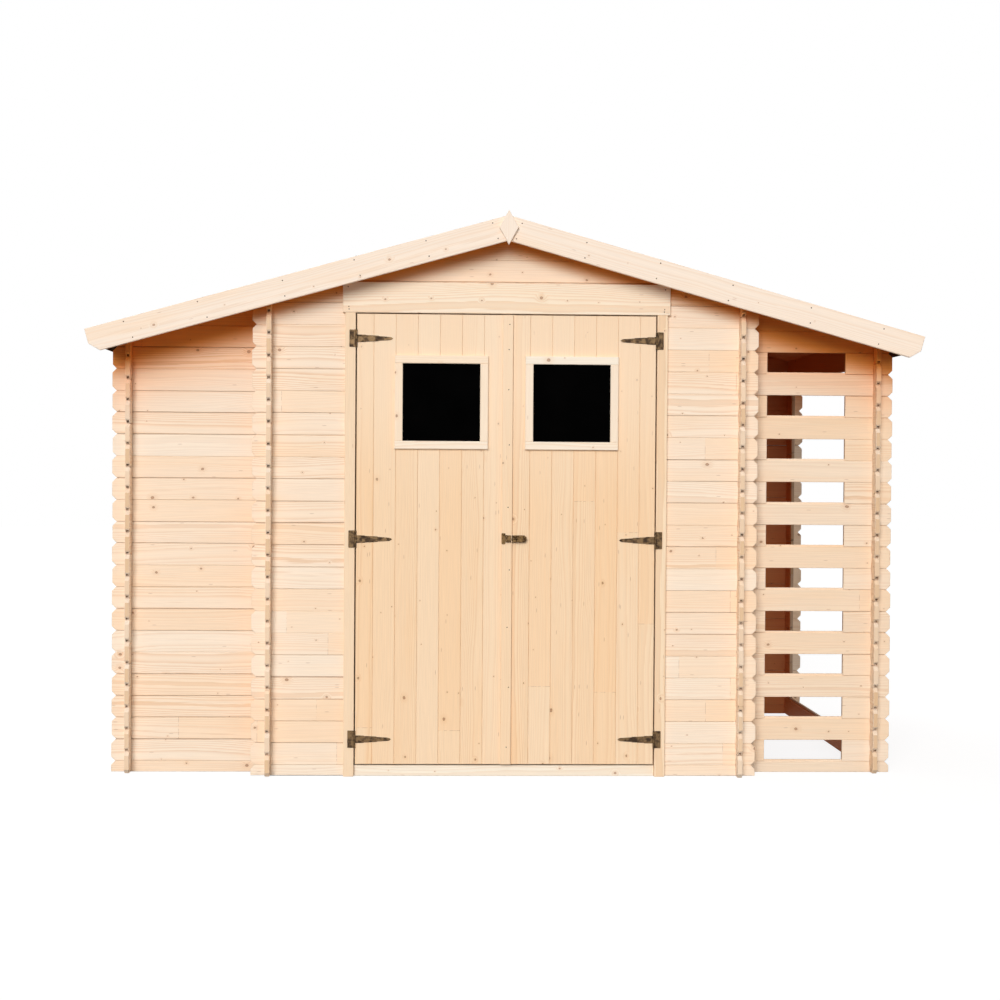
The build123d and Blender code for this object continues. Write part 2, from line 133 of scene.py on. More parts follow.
def skin(work, rings, heart, tone, hollow=()):
    """The faces over rings of points with the same count, where points that stay put are joined.
    Hollow gives, for a point whose faces lie in the joint, how many rows from the rims those faces begin."""
    rows = [[work.verts.new(point) for point in rings[0]]]
    for before, ring in zip(rings, rings[1:]):
        last = rows[-1]
        rows.append([last[i] if (Vector(point) - Vector(before[i])).length < 1e-7 else work.verts.new(point)
                     for i, point in enumerate(ring)])
    faces = [work.faces.new(rows[0]), work.faces.new(list(reversed(rows[-1])))]
    layers = work.faces.layers.float_vector
    heart_layer, tone_layer, groove_layer = layers["heart"], layers["tone"], layers["groove"]
    for k, (one, other) in enumerate(zip(rows, rows[1:])):
        for i in range(len(one)):
            j = (i + 1) % len(one)
            corners = list(dict.fromkeys((one[j], one[i], other[i], other[j])))
            if len(corners) > 2:
                faces.append(work.faces.new(corners))
                # Faces that lie in the joint are flagged for painted shade.
                if i in hollow and hollow[i] <= k <= len(rows) - 2 - hollow[i]:
                    faces[-1][groove_layer] = (1, 0, 0)
    seed = chance.random()
    for face in faces:
        face[heart_layer] = (heart[0], heart[1], seed)
        face[tone_layer] = tone


def add_solid(work, outline, place, low, high, chamfer, heart=(0, 0), tone=None):
    """A solid from an outline, between two depths, with chamfered rims and a timber of its own."""
    area = sum(a[0] * b[1] - b[0] * a[1] for a, b in zip(outline, outline[1:] + outline[:1])) / 2
    if area < 0:
        outline = outline[::-1]
    inner = drawn_in(outline, chamfer)
    layers = ((inner, low), (outline, low + chamfer), (outline, high - chamfer), (inner, high))
    rings = [[place(u, v, depth) for u, v in points] for points, depth in layers]
    skin(work, rings, heart, tone or (chance.random(), chance.random(), far_off))


def cut_to_roof(outline):
    """An outline of a board along X, trimmed to both slopes of the roof."""
    for side in (-1, 1):
        kept = []
        for before, here in zip(outline[-1:] + outline[:-1], outline):
            over = [v + side * u * slope - under_roof(0) for u, v, _ in (before, here)]
            if over[0] * over[1] < 0:
                share = over[0] / (over[0] - over[1])
                u, v = (a + (b - a) * share for a, b in zip(before[:2], here[:2]))
                rise = min(before[2] - before[1], here[2] - here[1])
                cut = [(u, v, v), (u - side * rise / slope, v, v + rise)] if rise > 1e-6 else [(u, v, v)]
                kept += cut if over[1] < 0 else cut[::-1]
            if over[1] <= 0:
                kept.append(here)
        outline = kept
    return [(u, v, min(core, max(v, under_roof(u)))) for u, v, core in outline]


def heart_of(low, high, depth):
    """Where the heart of the log lay, beside or behind the board that was sawn from it."""
    side = chance.choice((-1, 1))
    return (low + high) / 2 + chance.uniform(-heart_play, heart_play), depth + side * chance.uniform(0.03, 0.11)


def board(work, place, ends, heights, notches, clipped, heart, trim=list, bare=False):
    """One board, a hair short of its neighbours and a little out of level, tongued above and grooved below.
    Its joint faces carry painted shade, unless the tongue is bare."""
    low, high = heights
    middle = (low + high) / 2
    start, end = ends
    start += chance.uniform(-end_play, end_play) if "start high" in clipped else 0
    end += chance.uniform(-end_play, end_play) if "end high" in clipped else 0
    gap_low, gap_high = (least_gap + gap_spread * chance.random() ** 3 for _ in range(2))
    outline = board_outline((start, end), (low + gap_low, high - gap_high), notches, clipped, low > on_ground)
    lean = chance.uniform(-0.9, 0.9) * min(gap_low, gap_high) / ((end - start) / 2)
    level = lambda u, v: v + (u - (start + end) / 2) * lean if v > on_ground else v
    outline = trim([(u, level(u, v), level(u, core)) for u, v, core in outline])
    plain = [(u, v) for u, v, _ in outline]
    grooved = [(u, min(v, core) if v > middle else core) for u, v, core in outline]
    tongued = [(u, core) for u, _, core in outline]
    eased_rim = drawn_in(plain, vee)
    face = thickness / 2
    half = [(eased_rim, -face), (plain, vee - face), (plain, -groove_half), (grooved, -groove_half),
            (grooved, -tongue_half), (tongued, -tongue_half)]
    layers = half + [(points, -depth) for points, depth in reversed(half)]
    rings = [[place(u, v, depth) for u, v in points] for points, depth in layers]
    finger = chance.uniform(start, end) if chance.random() < joined_share else far_off
    raised = [core - v > 1e-6 for _, v, core in outline]
    hollow = {}
    for i, (_, v, _) in enumerate(outline):
        here, after = raised[i], raised[(i + 1) % len(raised)]
        if here and after and not bare:
            hollow[i] = 1
        elif here and after and v < middle or here != after:
            hollow[i] = 2
    skin(work, rings, heart, (chance.random(), chance.random(), finger), hollow)


def crossing_notches(centres, spans, low, high):
    """Notches of one board where the necks of other walls pass it."""
    half = thickness / 2 + hair
    notches = [(c - half, c + half, a - hair, b + hair)
               for c, ends in zip(centres, spans) for a, b in ends if a < high and b > low]
    return [(a, b, low - 1 if c <= low else c, high + 1 if d >= high else d) for a, b, c, d in notches]


def board_along_x(work, ends, y, heights, crossings=(), clipped=(), extra=(), bare=False):
    """One board of a wall along X, notched at its crossings and cut under the roof."""
    low, high = heights
    notches = crossing_notches(crossings, [necks(x, False) for x in crossings], low, high) + list(extra)
    shift = chance.uniform(-face_play, face_play)
    place = lambda u, v, w: (u, y + shift + w, v)
    board(work, place, ends, heights, notches, clipped, heart_of(low, high, y), cut_to_roof, bare)


def board_along_y(work, ends, x, heights, crossings=(), clipped=()):
    """One board of a wall along Y, notched at its crossings and cut under the roof."""
    low, high = heights
    notches = crossing_notches(crossings, [necks(x, True)] * len(crossings), low, high)
    place = lambda u, v, w: (x - w, u, min(v, under_roof(x - w)))
    board(work, place, ends, heights, notches, clipped, heart_of(low, high, x))


def new_finish(name):
    """An empty finish, with its nodes and its shader."""
    finish = bpy.data.materials.new(name)
    finish.use_nodes = True
    return finish, finish.node_tree, finish.node_tree.nodes["Principled BSDF"]


def node(tree, kind, sockets=None, **settings):
    """A node of a finish, with its settings and what goes into its sockets."""
    made = tree.nodes.new("ShaderNode" + kind)
    for key, value in settings.items():
        setattr(made, key, value)
    for key, value in (sockets or {}).items():
        if isinstance(value, bpy.types.NodeSocket):
            tree.links.new(value, made.inputs[key])
        else:
            made.inputs[key].default_value = value
    return made


def reckon(tree, operation, *values):
    """One step of arithmetic in a finish."""
    return node(tree, "Math", dict(enumerate(values)), operation=operation).outputs[0]


def times(tree, first, *others):
    """The product of some values in a finish."""
    for other in others:
        first = reckon(tree, "MULTIPLY", first, other)
    return first


def more(tree, value, limit):
    """1 where a value is over a limit, and 0 elsewhere."""
    return reckon(tree, "GREATER_THAN", value, limit)


def less(tree, value, limit):
    """1 where a value is under a limit, and 0 elsewhere."""
    return reckon(tree, "LESS_THAN", value, limit)


def span(tree, one, other):
    """The distance that two sides at a right angle span."""
    return reckon(tree, "SQRT", reckon(tree, "ADD", times(tree, one, one), times(tree, other, other)))


def ramp(tree, value, low, high, to_low=0.0, to_high=1.0):
    """A smooth step of a value between two limits."""
    made = node(tree, "MapRange", {0: value, 1: low, 2: high, 3: to_low, 4: to_high},
                interpolation_type="SMOOTHSTEP")
    return made.outputs[0]


def blend(tree, share, one, other, way="MIX"):
    """A mix of two colours."""
    made = node(tree, "Mix", {0: share, 6: one, 7: other}, data_type="RGBA", blend_type=way)
    return made.outputs[2]


def shade(colour, *shares):
    """A colour with its red, green and blue taken down or up."""
    return tuple(a * b for a, b in zip(colour, shares)) + colour[3:]


def split(tree, vector):
    """The three values of a vector."""
    return node(tree, "SeparateXYZ", {0: vector}).outputs


def joined(tree, *values):
    """A vector of two or three values."""
    return node(tree, "CombineXYZ", dict(enumerate(values))).outputs[0]


def clouds(tree, place, scale=1.0, detail=2.0):
    """A value that drifts from place to place."""
    return node(tree, "TexNoise", {"Vector": place, "Scale": scale, "Detail": detail}).outputs["Fac"]


def scattered(tree, *place):
    """Points that lie at random, one in each cell of a grid."""
    return node(tree, "TexVoronoi", {"Vector": joined(tree, *place), "Scale": 1.0}, voronoi_dimensions="2D").outputs


def relieve(tree, shader, height, strength, distance):
    """Gives a finish its relief."""
    bump = node(tree, "Bump", {"Height": height, "Strength": strength, "Distance": distance})
    tree.links.new(bump.outputs["Normal"], shader.inputs["Normal"])


def painted_shade_places(tree, place):
    """Where points lie inside, in the log bay, close under the gables, and under the roof on walls that are set back:
    there the spruce gets painted shade, deeper and redder, for the shadow that falls there."""
    x, y, z = place
    aside = reckon(tree, "ABSOLUTE", x)
    drop = reckon(tree, "SUBTRACT", reckon(tree, "MULTIPLY_ADD", aside, -slope, ridge_height), z)
    in_bays = times(tree, less(tree, aside, outer_x - groove_half), more(tree, y, bay_y + groove_half))
    in_room = times(tree, less(tree, aside, room_x - groove_half), more(tree, y, front_y + groove_half))
    inside = times(tree, reckon(tree, "MAXIMUM", in_bays, in_room), less(tree, y, rear_y - groove_half))
    outside = reckon(tree, "SUBTRACT", 1.0, inside)
    bay_face = bay_y - thickness / 2 - 0.001
    behind_front = reckon(tree, "MAXIMUM", more(tree, y, bay_face), more(tree, aside, (room_x + outer_x) / 2))
    set_back = times(tree, behind_front, less(tree, y, rear_y))
    near, far = ramp(tree, drop, 0.20, 0.11), ramp(tree, drop, 0.42, 0.12)
    under_bay_roof = times(tree, reckon(tree, "ADD", near, far), 0.5, set_back, outside)
    forward = reckon(tree, "MAXIMUM", reckon(tree, "SUBTRACT", outside, set_back), 0.0)
    under_gable = times(tree, ramp(tree, drop, 0.14, 0.07), forward)
    return inside, more(tree, x, room_x), under_gable, under_bay_roof


def timber(name, lie, early, late, knot, grain=0.5, knots=0.52, painted_shade=False, painted_light_top=None):
    """Planed spruce. lie gives the axes along a board, across it and through it. It may carry painted shade inside
    and under the eaves, and painted light that grows paler towards the top.
    """
    finish, tree, shader = new_finish(name)
    coordinates = node(tree, "TexCoord").outputs
    place = coordinates["Object"]
    parts = split(tree, place)
    along, across, depth = (parts[axis] for axis in lie)
    heart, tone = (split(tree, node(tree, "Attribute", attribute_name=kind).outputs["Vector"])
                   for kind in ("heart", "tone"))
    seed = heart[2]
    run = reckon(tree, "MULTIPLY_ADD", seed, 53.0, along)
    lane = reckon(tree, "MULTIPLY_ADD", seed, 17.0, across)

    # Knots: one to a cell, each of its own size, and not in every cell
    knots_along, knots_across, knot_stretch = 5.2, 12.0, 0.8
    least_knot, knot_spread, ragged_edge = 0.0014, 0.0048, 0.0044
    cell_x, cell_y = times(tree, run, knots_along), times(tree, lane, knots_across)
    found = scattered(tree, cell_x, cell_y)
    centre, draw = split(tree, found["Position"]), split(tree, found["Color"])
    knot_x = times(tree, reckon(tree, "SUBTRACT", cell_x, centre[0]), knot_stretch / knots_along)
    knot_y = times(tree, reckon(tree, "SUBTRACT", cell_y, centre[1]), 1 / knots_across)
    reach = reckon(tree, "SUBTRACT", span(tree, knot_x, knot_y), ragged_edge / 2)
    reach = reckon(tree, "MULTIPLY_ADD", clouds(tree, place, 160.0), ragged_edge, reach)
    present = more(tree, draw[1], 1 - knots)
    size = reckon(tree, "MULTIPLY_ADD", reckon(tree, "POWER", draw[0], 3.0), knot_spread, least_knot)
    ratio = reckon(tree, "DIVIDE", reach, size)
    core = times(tree, present, ramp(tree, ratio, 1.15, 0.7))
    rim = times(tree, core, ramp(tree, ratio, 0.55, 0.95))
    halo = times(tree, present, ramp(tree, ratio, 4.5, 0.8))

    # Year rings round the heart of the log, bent by the knots
    rings_a_metre, wandering, knot_bend = 235.0, 0.11, 0.006
    wander = clouds(tree, joined(tree, times(tree, run, 0.9), times(tree, lane, 2.0), depth))
    off_x = reckon(tree, "ADD", reckon(tree, "SUBTRACT", across, heart[0]),
                   reckon(tree, "MULTIPLY_ADD", wander, wandering, -wandering / 2))
    radius = span(tree, off_x, reckon(tree, "SUBTRACT", depth, heart[1]))
    radius = reckon(tree, "MULTIPLY_ADD", halo, knot_bend, radius)
    fine = 330.0
    drawn = joined(tree, times(tree, run, 7.0), times(tree, lane, fine), times(tree, depth, fine))
    fibre = clouds(tree, drawn, 1.0, 3.0)
    turn = reckon(tree, "MULTIPLY_ADD", radius, rings_a_metre, times(tree, fibre, 0.5))
    turn = reckon(tree, "FRACT", turn)
    late_wood = times(tree, ramp(tree, turn, 0.35, 0.93), ramp(tree, turn, 1.0, 0.94))
    strength = reckon(tree, "MULTIPLY_ADD", tone[0], grain, grain * 0.3)

    # Patches of tone along a board, and dashes of resin
    patch = clouds(tree, joined(tree, times(tree, run, 1.7), times(tree, lane, 11.0), seed))
    dash = scattered(tree, times(tree, run, 9.0), times(tree, lane, 70.0))
    dashes = times(tree, ramp(tree, dash["Distance"], 0.11, 0.05), more(tree, split(tree, dash["Color"])[0], 0.955))

    # A fine broken line where two lengths of timber are joined
    near = reckon(tree, "COMPARE", along, tone[2], 0.0009)
    finger = times(tree, near, ramp(tree, clouds(tree, place, 60.0), 0.42, 0.56))

    warm, sawn = shade(early, 1.0, 0.87, 0.72), shade(early, 0.80, 0.66, 0.50)
    pale = tuple(min(0.97, value) for value in shade(early, 1.03, 1.06, 1.12))
    colour = blend(tree, times(tree, late_wood, strength), early, late)
    colour = blend(tree, ramp(tree, patch, 0.48, 0.78, 0.0, 0.42), colour, warm)
    colour = blend(tree, ramp(tree, tone[1], 0.55, 1.0, 0.0, 0.4), colour, warm)
    colour = blend(tree, ramp(tree, tone[1], 0.4, 0.0, 0.0, 0.5), colour, pale)
    colour = blend(tree, times(tree, more(tree, along, tone[2]), 0.35), colour, warm)
    colour = blend(tree, times(tree, halo, 0.28), colour, late)
    colour = blend(tree, times(tree, core, 0.62), colour, knot)
    colour = blend(tree, times(tree, rim, 0.6), colour, shade(knot, 0.45, 0.4, 0.36))
    colour = blend(tree, times(tree, reckon(tree, "MAXIMUM", dashes, finger), 0.4), colour, knot)
    streak = ramp(tree, fibre, 0.25, 0.75, 0.955, 1.03)
    streak = node(tree, "CombineColor", {0: streak, 1: streak, 2: streak}).outputs[0]
    colour = blend(tree, 1.0, colour, streak, "MULTIPLY")
    facing_end = reckon(tree, "ABSOLUTE", split(tree, coordinates["Normal"])[lie[0]])
    end_grain = times(tree, ramp(tree, facing_end, 0.74, 0.95), ramp(tree, tone[0], 0.0, 1.0, 0.35, 0.95))
    colour = blend(tree, end_grain, colour, sawn)
    # Painted light: the colour grows paler towards the top, for the light that falls more on the upper part.
    if painted_light_top:
        low, high, painted_top_colour = painted_light_top
        colour = blend(tree, ramp(tree, parts[2], low, high, 0.0, 0.5), colour, painted_top_colour)
    # Painted shade: faces inside the joints are darkened for the shade in the gaps between boards.
    groove = node(tree, "Attribute", attribute_name="groove").outputs["Fac"]
    colour = blend(tree, groove, colour, (0.20, 0.10, 0.05, 1), "MULTIPLY")
    # Painted shade: inside the room and bays and under the eaves the colour turns deeper and redder for the shadow
    # there.
    if painted_shade:
        inside, in_log_bay, under_gable, under_bay_roof = painted_shade_places(tree, parts[:3])
        kept = blend(tree, in_log_bay, (0.80, 0.55, 0.38, 1), (0.69, 0.32, 0.15, 1))
        colour = blend(tree, inside, colour, kept, "MULTIPLY")
        colour = blend(tree, under_gable, colour, (0.86, 0.43, 0.11, 1), "MULTIPLY")
        colour = blend(tree, under_bay_roof, colour, (0.88, 0.40, 0.09, 1), "MULTIPLY")
    tree.links.new(colour, shader.inputs["Base Color"])
    dull = reckon(tree, "MAXIMUM", groove, ramp(tree, fibre, 0.2, 0.8, 0.56, 0.76))
    tree.links.new(dull, shader.inputs["Roughness"])
    shader.inputs["Specular IOR Level"].default_value = 0.28
    relief = reckon(tree, "MULTIPLY_ADD", late_wood, 0.35, fibre)
    relief = reckon(tree, "SUBTRACT", relief, times(tree, reckon(tree, "MAXIMUM", rim, finger), 0.9))
    relieve(tree, shader, relief, 0.22, 0.0006)
    return finish


def tint(red, green, blue):
    """A colour from its usual 0 to 255 values."""
    values = [c / 255 for c in (red, green, blue)]
    return tuple(c / 12.92 if c <= 0.04045 else ((c + 0.055) / 1.055) ** 2.4 for c in values) + (1.0,)


along_x_lie, along_y_lie, upright_lie = (0, 2, 1), (1, 2, 0), (2, 0, 1)
wall_colours = (tint(253, 231, 207), tint(230, 184, 140), tint(150, 96, 58))
wall_along_x = timber("spruce_along_x", along_x_lie, *wall_colours, painted_shade=True)
wall_along_y = timber("spruce_along_y", along_y_lie, *wall_colours, painted_shade=True)

# Front wall of the room: planed spruce boards. Beside the doorway they end in the jambs' grooves, over
# it they run through from corner to corner, and the top ones are cut to the roof.
ear = 0.06
past = thickness / 2 + ear
front_end = room_x + past
door_frame_x, head_bottom = 0.645, 1.853
jamb_groove, gable_spare = 0.012, 0.05
jamb_end = door_frame_x - jamb_groove
both_ends = ("start low", "start high", "end low", "end high")


def upper_only(clipped, low):
    """A board on the ground keeps its lower corners."""
    return tuple(c for c in clipped if low > on_ground or c.endswith("high"))


def courses(first, low, high, thinnest=0.03, spare=0.02):
    """Low and high edges of the boards between two heights, a thin top board joined to the one below."""
    edges = [low]
    edge = first
    while edge < high - thinnest:
        if edge > low + 1e-6:
            edges.append(edge)
        edge += course
    return list(zip(edges, edges[1:] + [high + spare]))


def finish_work(work, name, *finishes):
    """Turns the work into a piece with its finish."""
    bmesh.ops.recalc_face_normals(work, faces=work.faces[:])
    mesh = bpy.data.meshes.new(name)
    work.to_mesh(mesh)
    work.free()
    piece = bpy.data.objects.new(name, mesh)
    bpy.context.scene.collection.objects.link(piece)
    for finish in finishes:
        mesh.materials.append(finish)
    return piece


def fit(piece, body, slot, *cad_nodes):
    """Fixes a piece to a body and hides the CAD nodes it stands for; the slot it is given is not used."""
    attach(piece, body)
    if cad_nodes:
        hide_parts(*cad_nodes)


def wall_piece(work, name, finish, *cad_nodes):
    """A finished stretch of wall that stands for its CAD nodes."""
    fit(finish_work(work, name, finish), "shed", "timber", *cad_nodes)


work = new_work()
for low, high in courses(half_course, 0, ridge_height, 0.0):
    corners = upper_only(both_ends, low)
    if high <= head_bottom:
        left_corners = tuple(c for c in corners if c.startswith("start"))
        right_corners = tuple(c for c in corners if c.startswith("end"))
        board_along_x(work, (-front_end, -jamb_end), front_y, (low, high), [-room_x], left_corners)
        board_along_x(work, (jamb_end, front_end), front_y, (low, high), [room_x], right_corners)
        continue
    doorway = [(-jamb_end, jamb_end, low - 1, head_bottom)] if low < head_bottom else []
    reach = min(front_end, (ridge_height - low) / slope + gable_spare)
    crossings = [-room_x, room_x] if reach >= front_end else []
    board_along_x(work, (-reach, reach), front_y, (low, high), crossings, corners if crossings else (), doorway)
wall_piece(work, "front_wall_boards", wall_along_x, "front_wall_left", "front_wall_right", "front_gable")

# Closed bay on the left, of the same spruce boards: a front set back from the room's, a side wall, and
# on the room's line two stacks of short boards under a head of two, all notched into each other.
outer_end = outer_x + past
bay_inner = room_x - past
rear_end = rear_y + past
return_length = 0.115
stub = thickness / 2 + return_length
start_end, far_end = both_ends[:2], both_ends[2:]


def courses_between(low, high):
    """Low and high edges of the boards between two joints."""
    count = round((high - low) / course)
    return [(low + k * course, low + (k + 1) * course) for k in range(count)]


work = new_work()
for low, high in courses(half_course, 0, under_roof(bay_inner), 0.0):
    board_along_x(work, (-outer_end, -bay_inner), bay_y, (low, high), [-outer_x, -room_x],
                  upper_only(both_ends, low))
wall_piece(work, "store_front_boards", wall_along_x, "store_front_wall")

work = new_work()
for low, high in courses(course, 0, under_roof(outer_x)):
    board_along_y(work, (bay_y - past, rear_end), -outer_x, (low, high), [bay_y, rear_y], both_ends)
wall_piece(work, "store_side_boards", wall_along_y, "store_side_wall")

passage_top = 1.76
across_room = [front_y, bay_y, rear_y]
work = new_work()
for low, high in courses_between(0, passage_top):
    board_along_y(work, (front_y - past, bay_y + stub), -room_x, (low, high), across_room[:2], start_end)
    board_along_y(work, (rear_y - stub, rear_end), -room_x, (low, high), [rear_y], far_end)
for low, high in courses(course, passage_top, under_roof(room_x)):
    board_along_y(work, (front_y - past, rear_end), -room_x, (low, high), across_room, both_ends)
wall_piece(work, "passage_boards", wall_along_y, "passage_returns", "passage_head")

# Rear wall: planed spruce boards in one length across the whole width, notched into all four side
# lines where they cross them, and cut to both slopes of the roof at the top.
work = new_work()
for low, high in courses(half_course, 0, ridge_height, 0.0):
    reach = min(outer_end, (ridge_height - low) / slope + gable_spare)
    crossings = [x for x in (-outer_x, -room_x, room_x, outer_x) if abs(x) + past <= reach + 1e-6]
    corners = upper_only(both_ends, low) if reach >= outer_end else ()
    board_along_x(work, (-reach, reach), rear_y, (low, high), crossings, corners)
wall_piece(work, "rear_wall_boards", wall_along_x, "rear_wall")

# Log store, of the same boards, its front and side painted a little darker as shade: a partition
# to the room, a front of every other board with short blocks notched in between and a bare tongue
# on each slat, and an open side between two stacks of short boards.
work = new_work()
for low, high in courses(course, 0, under_roof(room_x)):
    board_along_y(work, (front_y - past, rear_end), room_x, (low, high), across_room, both_ends)
wall_piece(work, "log_partition_boards", wall_along_y, "log_partition")

# Painted shade: the store's boards are a darker copy of the wall spruce, for the shade on the set-back store.
log_shaded_colours = (tint(246, 223, 197), tint(224, 180, 138), tint(146, 94, 58))
log_along_x = timber("log_spruce_along_x", along_x_lie, *log_shaded_colours, painted_shade=True)
log_along_y = timber("log_spruce_along_y", along_y_lie, *log_shaded_colours, painted_shade=True)
gap_start, gap_end = room_x + stub, outer_x - stub
store_ends = (bay_inner, outer_end)
store_crossings = [room_x, outer_x]
sill, slats, blocks, head = (new_work() for _ in range(4))
board_along_x(sill, store_ends, bay_y, (0, half_course), store_crossings, ("start high", "end high"), bare=True)
front_count = 19
front_courses = courses_between(half_course, half_course + front_count * course)
for k, (low, high) in enumerate(front_courses):
    if k % 2:
        board_along_x(slats, store_ends, bay_y, (low, high), store_crossings, both_ends, bare=True)
    else:
        board_along_x(blocks, (bay_inner, gap_start), bay_y, (low, high), [room_x], start_end)
        board_along_x(blocks, (gap_end, outer_end), bay_y, (low, high), [outer_x], far_end)
for low, high in courses(half_course, front_courses[-1][1], under_roof(bay_inner), 0.0):
    board_along_x(head, store_ends, bay_y, (low, high), store_crossings, both_ends)
wall_piece(sill, "log_front_sill_board", log_along_x, "log_front_sill")
wall_piece(slats, "log_front_slat_boards", log_along_x, "log_front_slats")
wall_piece(blocks, "log_front_short_blocks", log_along_x, "log_front_blocks")
wall_piece(head, "log_front_head_boards", log_along_x, "log_front_head")

side_head = 1.672
side_ends = (bay_y - past, rear_end)
side_crossings = [bay_y, rear_y]
work = new_work()
board_along_y(work, side_ends, outer_x, (0, course), side_crossings, both_ends)
wall_piece(work, "log_side_sill_board", log_along_y, "log_side_sill")
work = new_work()
for low, high in courses_between(course, side_head):
    board_along_y(work, (bay_y - past, bay_y + stub), outer_x, (low, high), [bay_y], start_end)
    board_along_y(work, (rear_y - stub, rear_end), outer_x, (low, high), [rear_y], far_end)
wall_piece(work, "log_side_short_boards", log_along_y, "log_side_returns")
work = new_work()
for low, high in courses(course, side_head, under_roof(outer_x)):
    board_along_y(work, side_ends, outer_x, (low, high), side_crossings, both_ends)
wall_piece(work, "log_side_head_boards", log_along_y, "log_side_head")

# Door frame: planed spruce jambs with a groove for the ends of the wall boards, a low sill board
# between them, and a head board across their tops, nailed at both ends.
trim_grain = (tint(232, 187, 142), tint(160, 100, 56))
jamb_upright = timber("planed_jamb_upright", upright_lie, tint(251, 224, 191), *trim_grain)
trim_level = timber("planed_trim_level", along_x_lie, tint(255, 240, 219), *trim_grain)


def eased(outline, by):
    """An outline with every corner planed off."""
    points = []
    for i, point in enumerate(outline):
        here, before, after = Vector(point), Vector(outline[i - 1]), Vector(outline[(i + 1) % len(outline)])
        points += [tuple(here + (before - here).normalized() * by), tuple(here + (after - here).normalized() * by)]
    return points


doorway_half, jamb_half_depth, touch = 0.603, 0.0285, 0.0003
planed_corner, end_corner, broad_corner = 0.0015, 0.001, 0.002
jamb_heart = (0.62, front_y + 0.08)
for side, cad_node in ((-1, "left_jamb"), (1, "right_jamb")):
    work = new_work()
    outer, groove = door_frame_x, door_frame_x - jamb_groove - hair
    front, back = front_y - jamb_half_depth, front_y + jamb_half_depth
    half = thickness / 2 + face_play
    outline = [(doorway_half, front), (outer, front), (outer, front_y - half), (groove, front_y - half),
               (groove, front_y + half), (outer, front_y + half), (outer, back), (doorway_half, back)]
    place = lambda u, v, w: (side * u, v, w)
    add_solid(work, eased(outline, planed_corner), place, 0, head_bottom - touch, end_corner, jamb_heart)
    fit(finish_work(work, cad_node + "_post", jamb_upright), "shed", "trim_timber", cad_node)


def front_place(u, v, w):
    """A point of an outline that faces the front, at a depth."""
    return (u, w, v)


def plank(work, x_low, x_high, y_low, y_high, z_low, z_high, chamfer=planed_corner):
    """A planed board whose broad face looks to the front."""
    outline = [(x_low, z_low), (x_high, z_low), (x_high, z_high), (x_low, z_high)]
    heart = ((z_low + z_high) / 2 + chance.uniform(-heart_play, heart_play), y_high + chance.uniform(0.03, 0.1))
    add_solid(work, outline, front_place, y_low, y_high, chamfer, heart)


def turned(work, centre, way, rings, sides=12):
    """A round solid along a direction, from rings of a radius and a height."""
    turn = Vector((0, 0, 1)).rotation_difference(Vector(way)).to_matrix()
    rows = []
    for radius, height in rings:
        circle = [(radius * math.cos(math.tau * k / sides), radius * math.sin(math.tau * k / sides))
                  for k in range(sides)]
        rows.append([work.verts.new(Vector(centre) + turn @ Vector((u, v, height))) for u, v in circle])
    work.faces.new(list(reversed(rows[0])))
    work.faces.new(rows[-1])
    for one, other in zip(rows, rows[1:]):
        for k in range(sides):
            j = (k + 1) % sides
            work.faces.new((one[k], one[j], other[j], other[k]))


def nail_head(work, centre, radius=0.0024, rise=0.0008, way=(0, -1, 0)):
    """A round nail head, a little domed, proud of the board's face."""
    turned(work, centre, way, ((radius, -0.001), (radius, 0.4 * rise), (0.62 * radius, rise)), 10)


def metal(name, colour, stain, dull, scale, metallic=1.0):
    """A plated or bare metal with a cloudy, stained skin."""
    finish, tree, shader = new_finish(name)
    place = node(tree, "TexCoord").outputs["Object"]
    cloud, speck = clouds(tree, place, scale, 4.0), clouds(tree, place, scale * 9)
    tree.links.new(blend(tree, ramp(tree, cloud, 0.38, 0.64), colour, stain), shader.inputs["Base Color"])
    tree.links.new(ramp(tree, cloud, 0.3, 0.7, dull, dull + 0.2), shader.inputs["Roughness"])
    shader.inputs["Metallic"].default_value = metallic
    relieve(tree, shader, speck, 0.2, 0.0002)
    return finish


nail_steel = metal("nail_steel", tint(92, 66, 48), tint(58, 40, 30), 0.5, 300.0, 0.6)

work = new_work()
sill_half = doorway_half - touch
plank(work, -sill_half, sill_half, front_y - thickness / 2, front_y + thickness / 2, 0, half_course - hair)
fit(finish_work(work, "door_sill_board", trim_level), "shed", "trim_timber", "door_sill")

work = new_work()
head_face, head_half, head_top = -1.0068, 0.655, 1.975
plank(work, -head_half, head_half, head_face, head_face + thickness, head_bottom, head_top, broad_corner)
fit(finish_work(work, "door_head_board", trim_level), "shed", "trim_timber", "door_head")
work = new_work()
head_nail_x, head_nail_heights, nail_play = 0.634, (1.866, 1.876, 1.955), 0.004
for side in (-1, 1):
    for z in head_nail_heights:
        nail_head(work, (side * (head_nail_x + nail_play * math.sin(90 * z)), head_face, z))
fit(finish_work(work, "door_head_nails", nail_steel), "shed", "bolt_metal")

# Roof boards and ridge beam: a planed spruce beam between the gables, and tongued boards
# nailed along both slopes on the walls and the beam.
roof_along_y = timber("roof_boards_spruce", along_y_lie, *wall_colours, painted_shade=True)
roof_depth, eave_x = 1.0982, 1.64
eave = eave_x / math.cos(pitch)
roof_board, narrowest, ridge_gap = 0.018, 0.03, 0.0005
beam_half, beam_depth, beam_heart = 0.0225, 0.095, (2.1, 0.05)


def on_roof(side, along, up, y):
    """A point of a slope: along it from the ridge, and up from the boards' lower face."""
    x = along * math.cos(pitch) + up * math.sin(pitch)
    return (side * x, y, ridge_height - along * math.sin(pitch) + up * math.cos(pitch))


work = new_work()
seat = ridge_height - touch
shoulder = seat - beam_half * slope
beam = [(-beam_half, seat - beam_depth), (beam_half, seat - beam_depth), (beam_half, shoulder), (0, seat),
        (-beam_half, shoulder)]
beam_end = rear_y - thickness / 2 - touch
add_solid(work, beam, front_place, -beam_end, beam_end, end_corner, beam_heart)
fit(finish_work(work, "ridge_beam_timber", roof_along_y), "shed", "roof_timber", "ridge_beam")

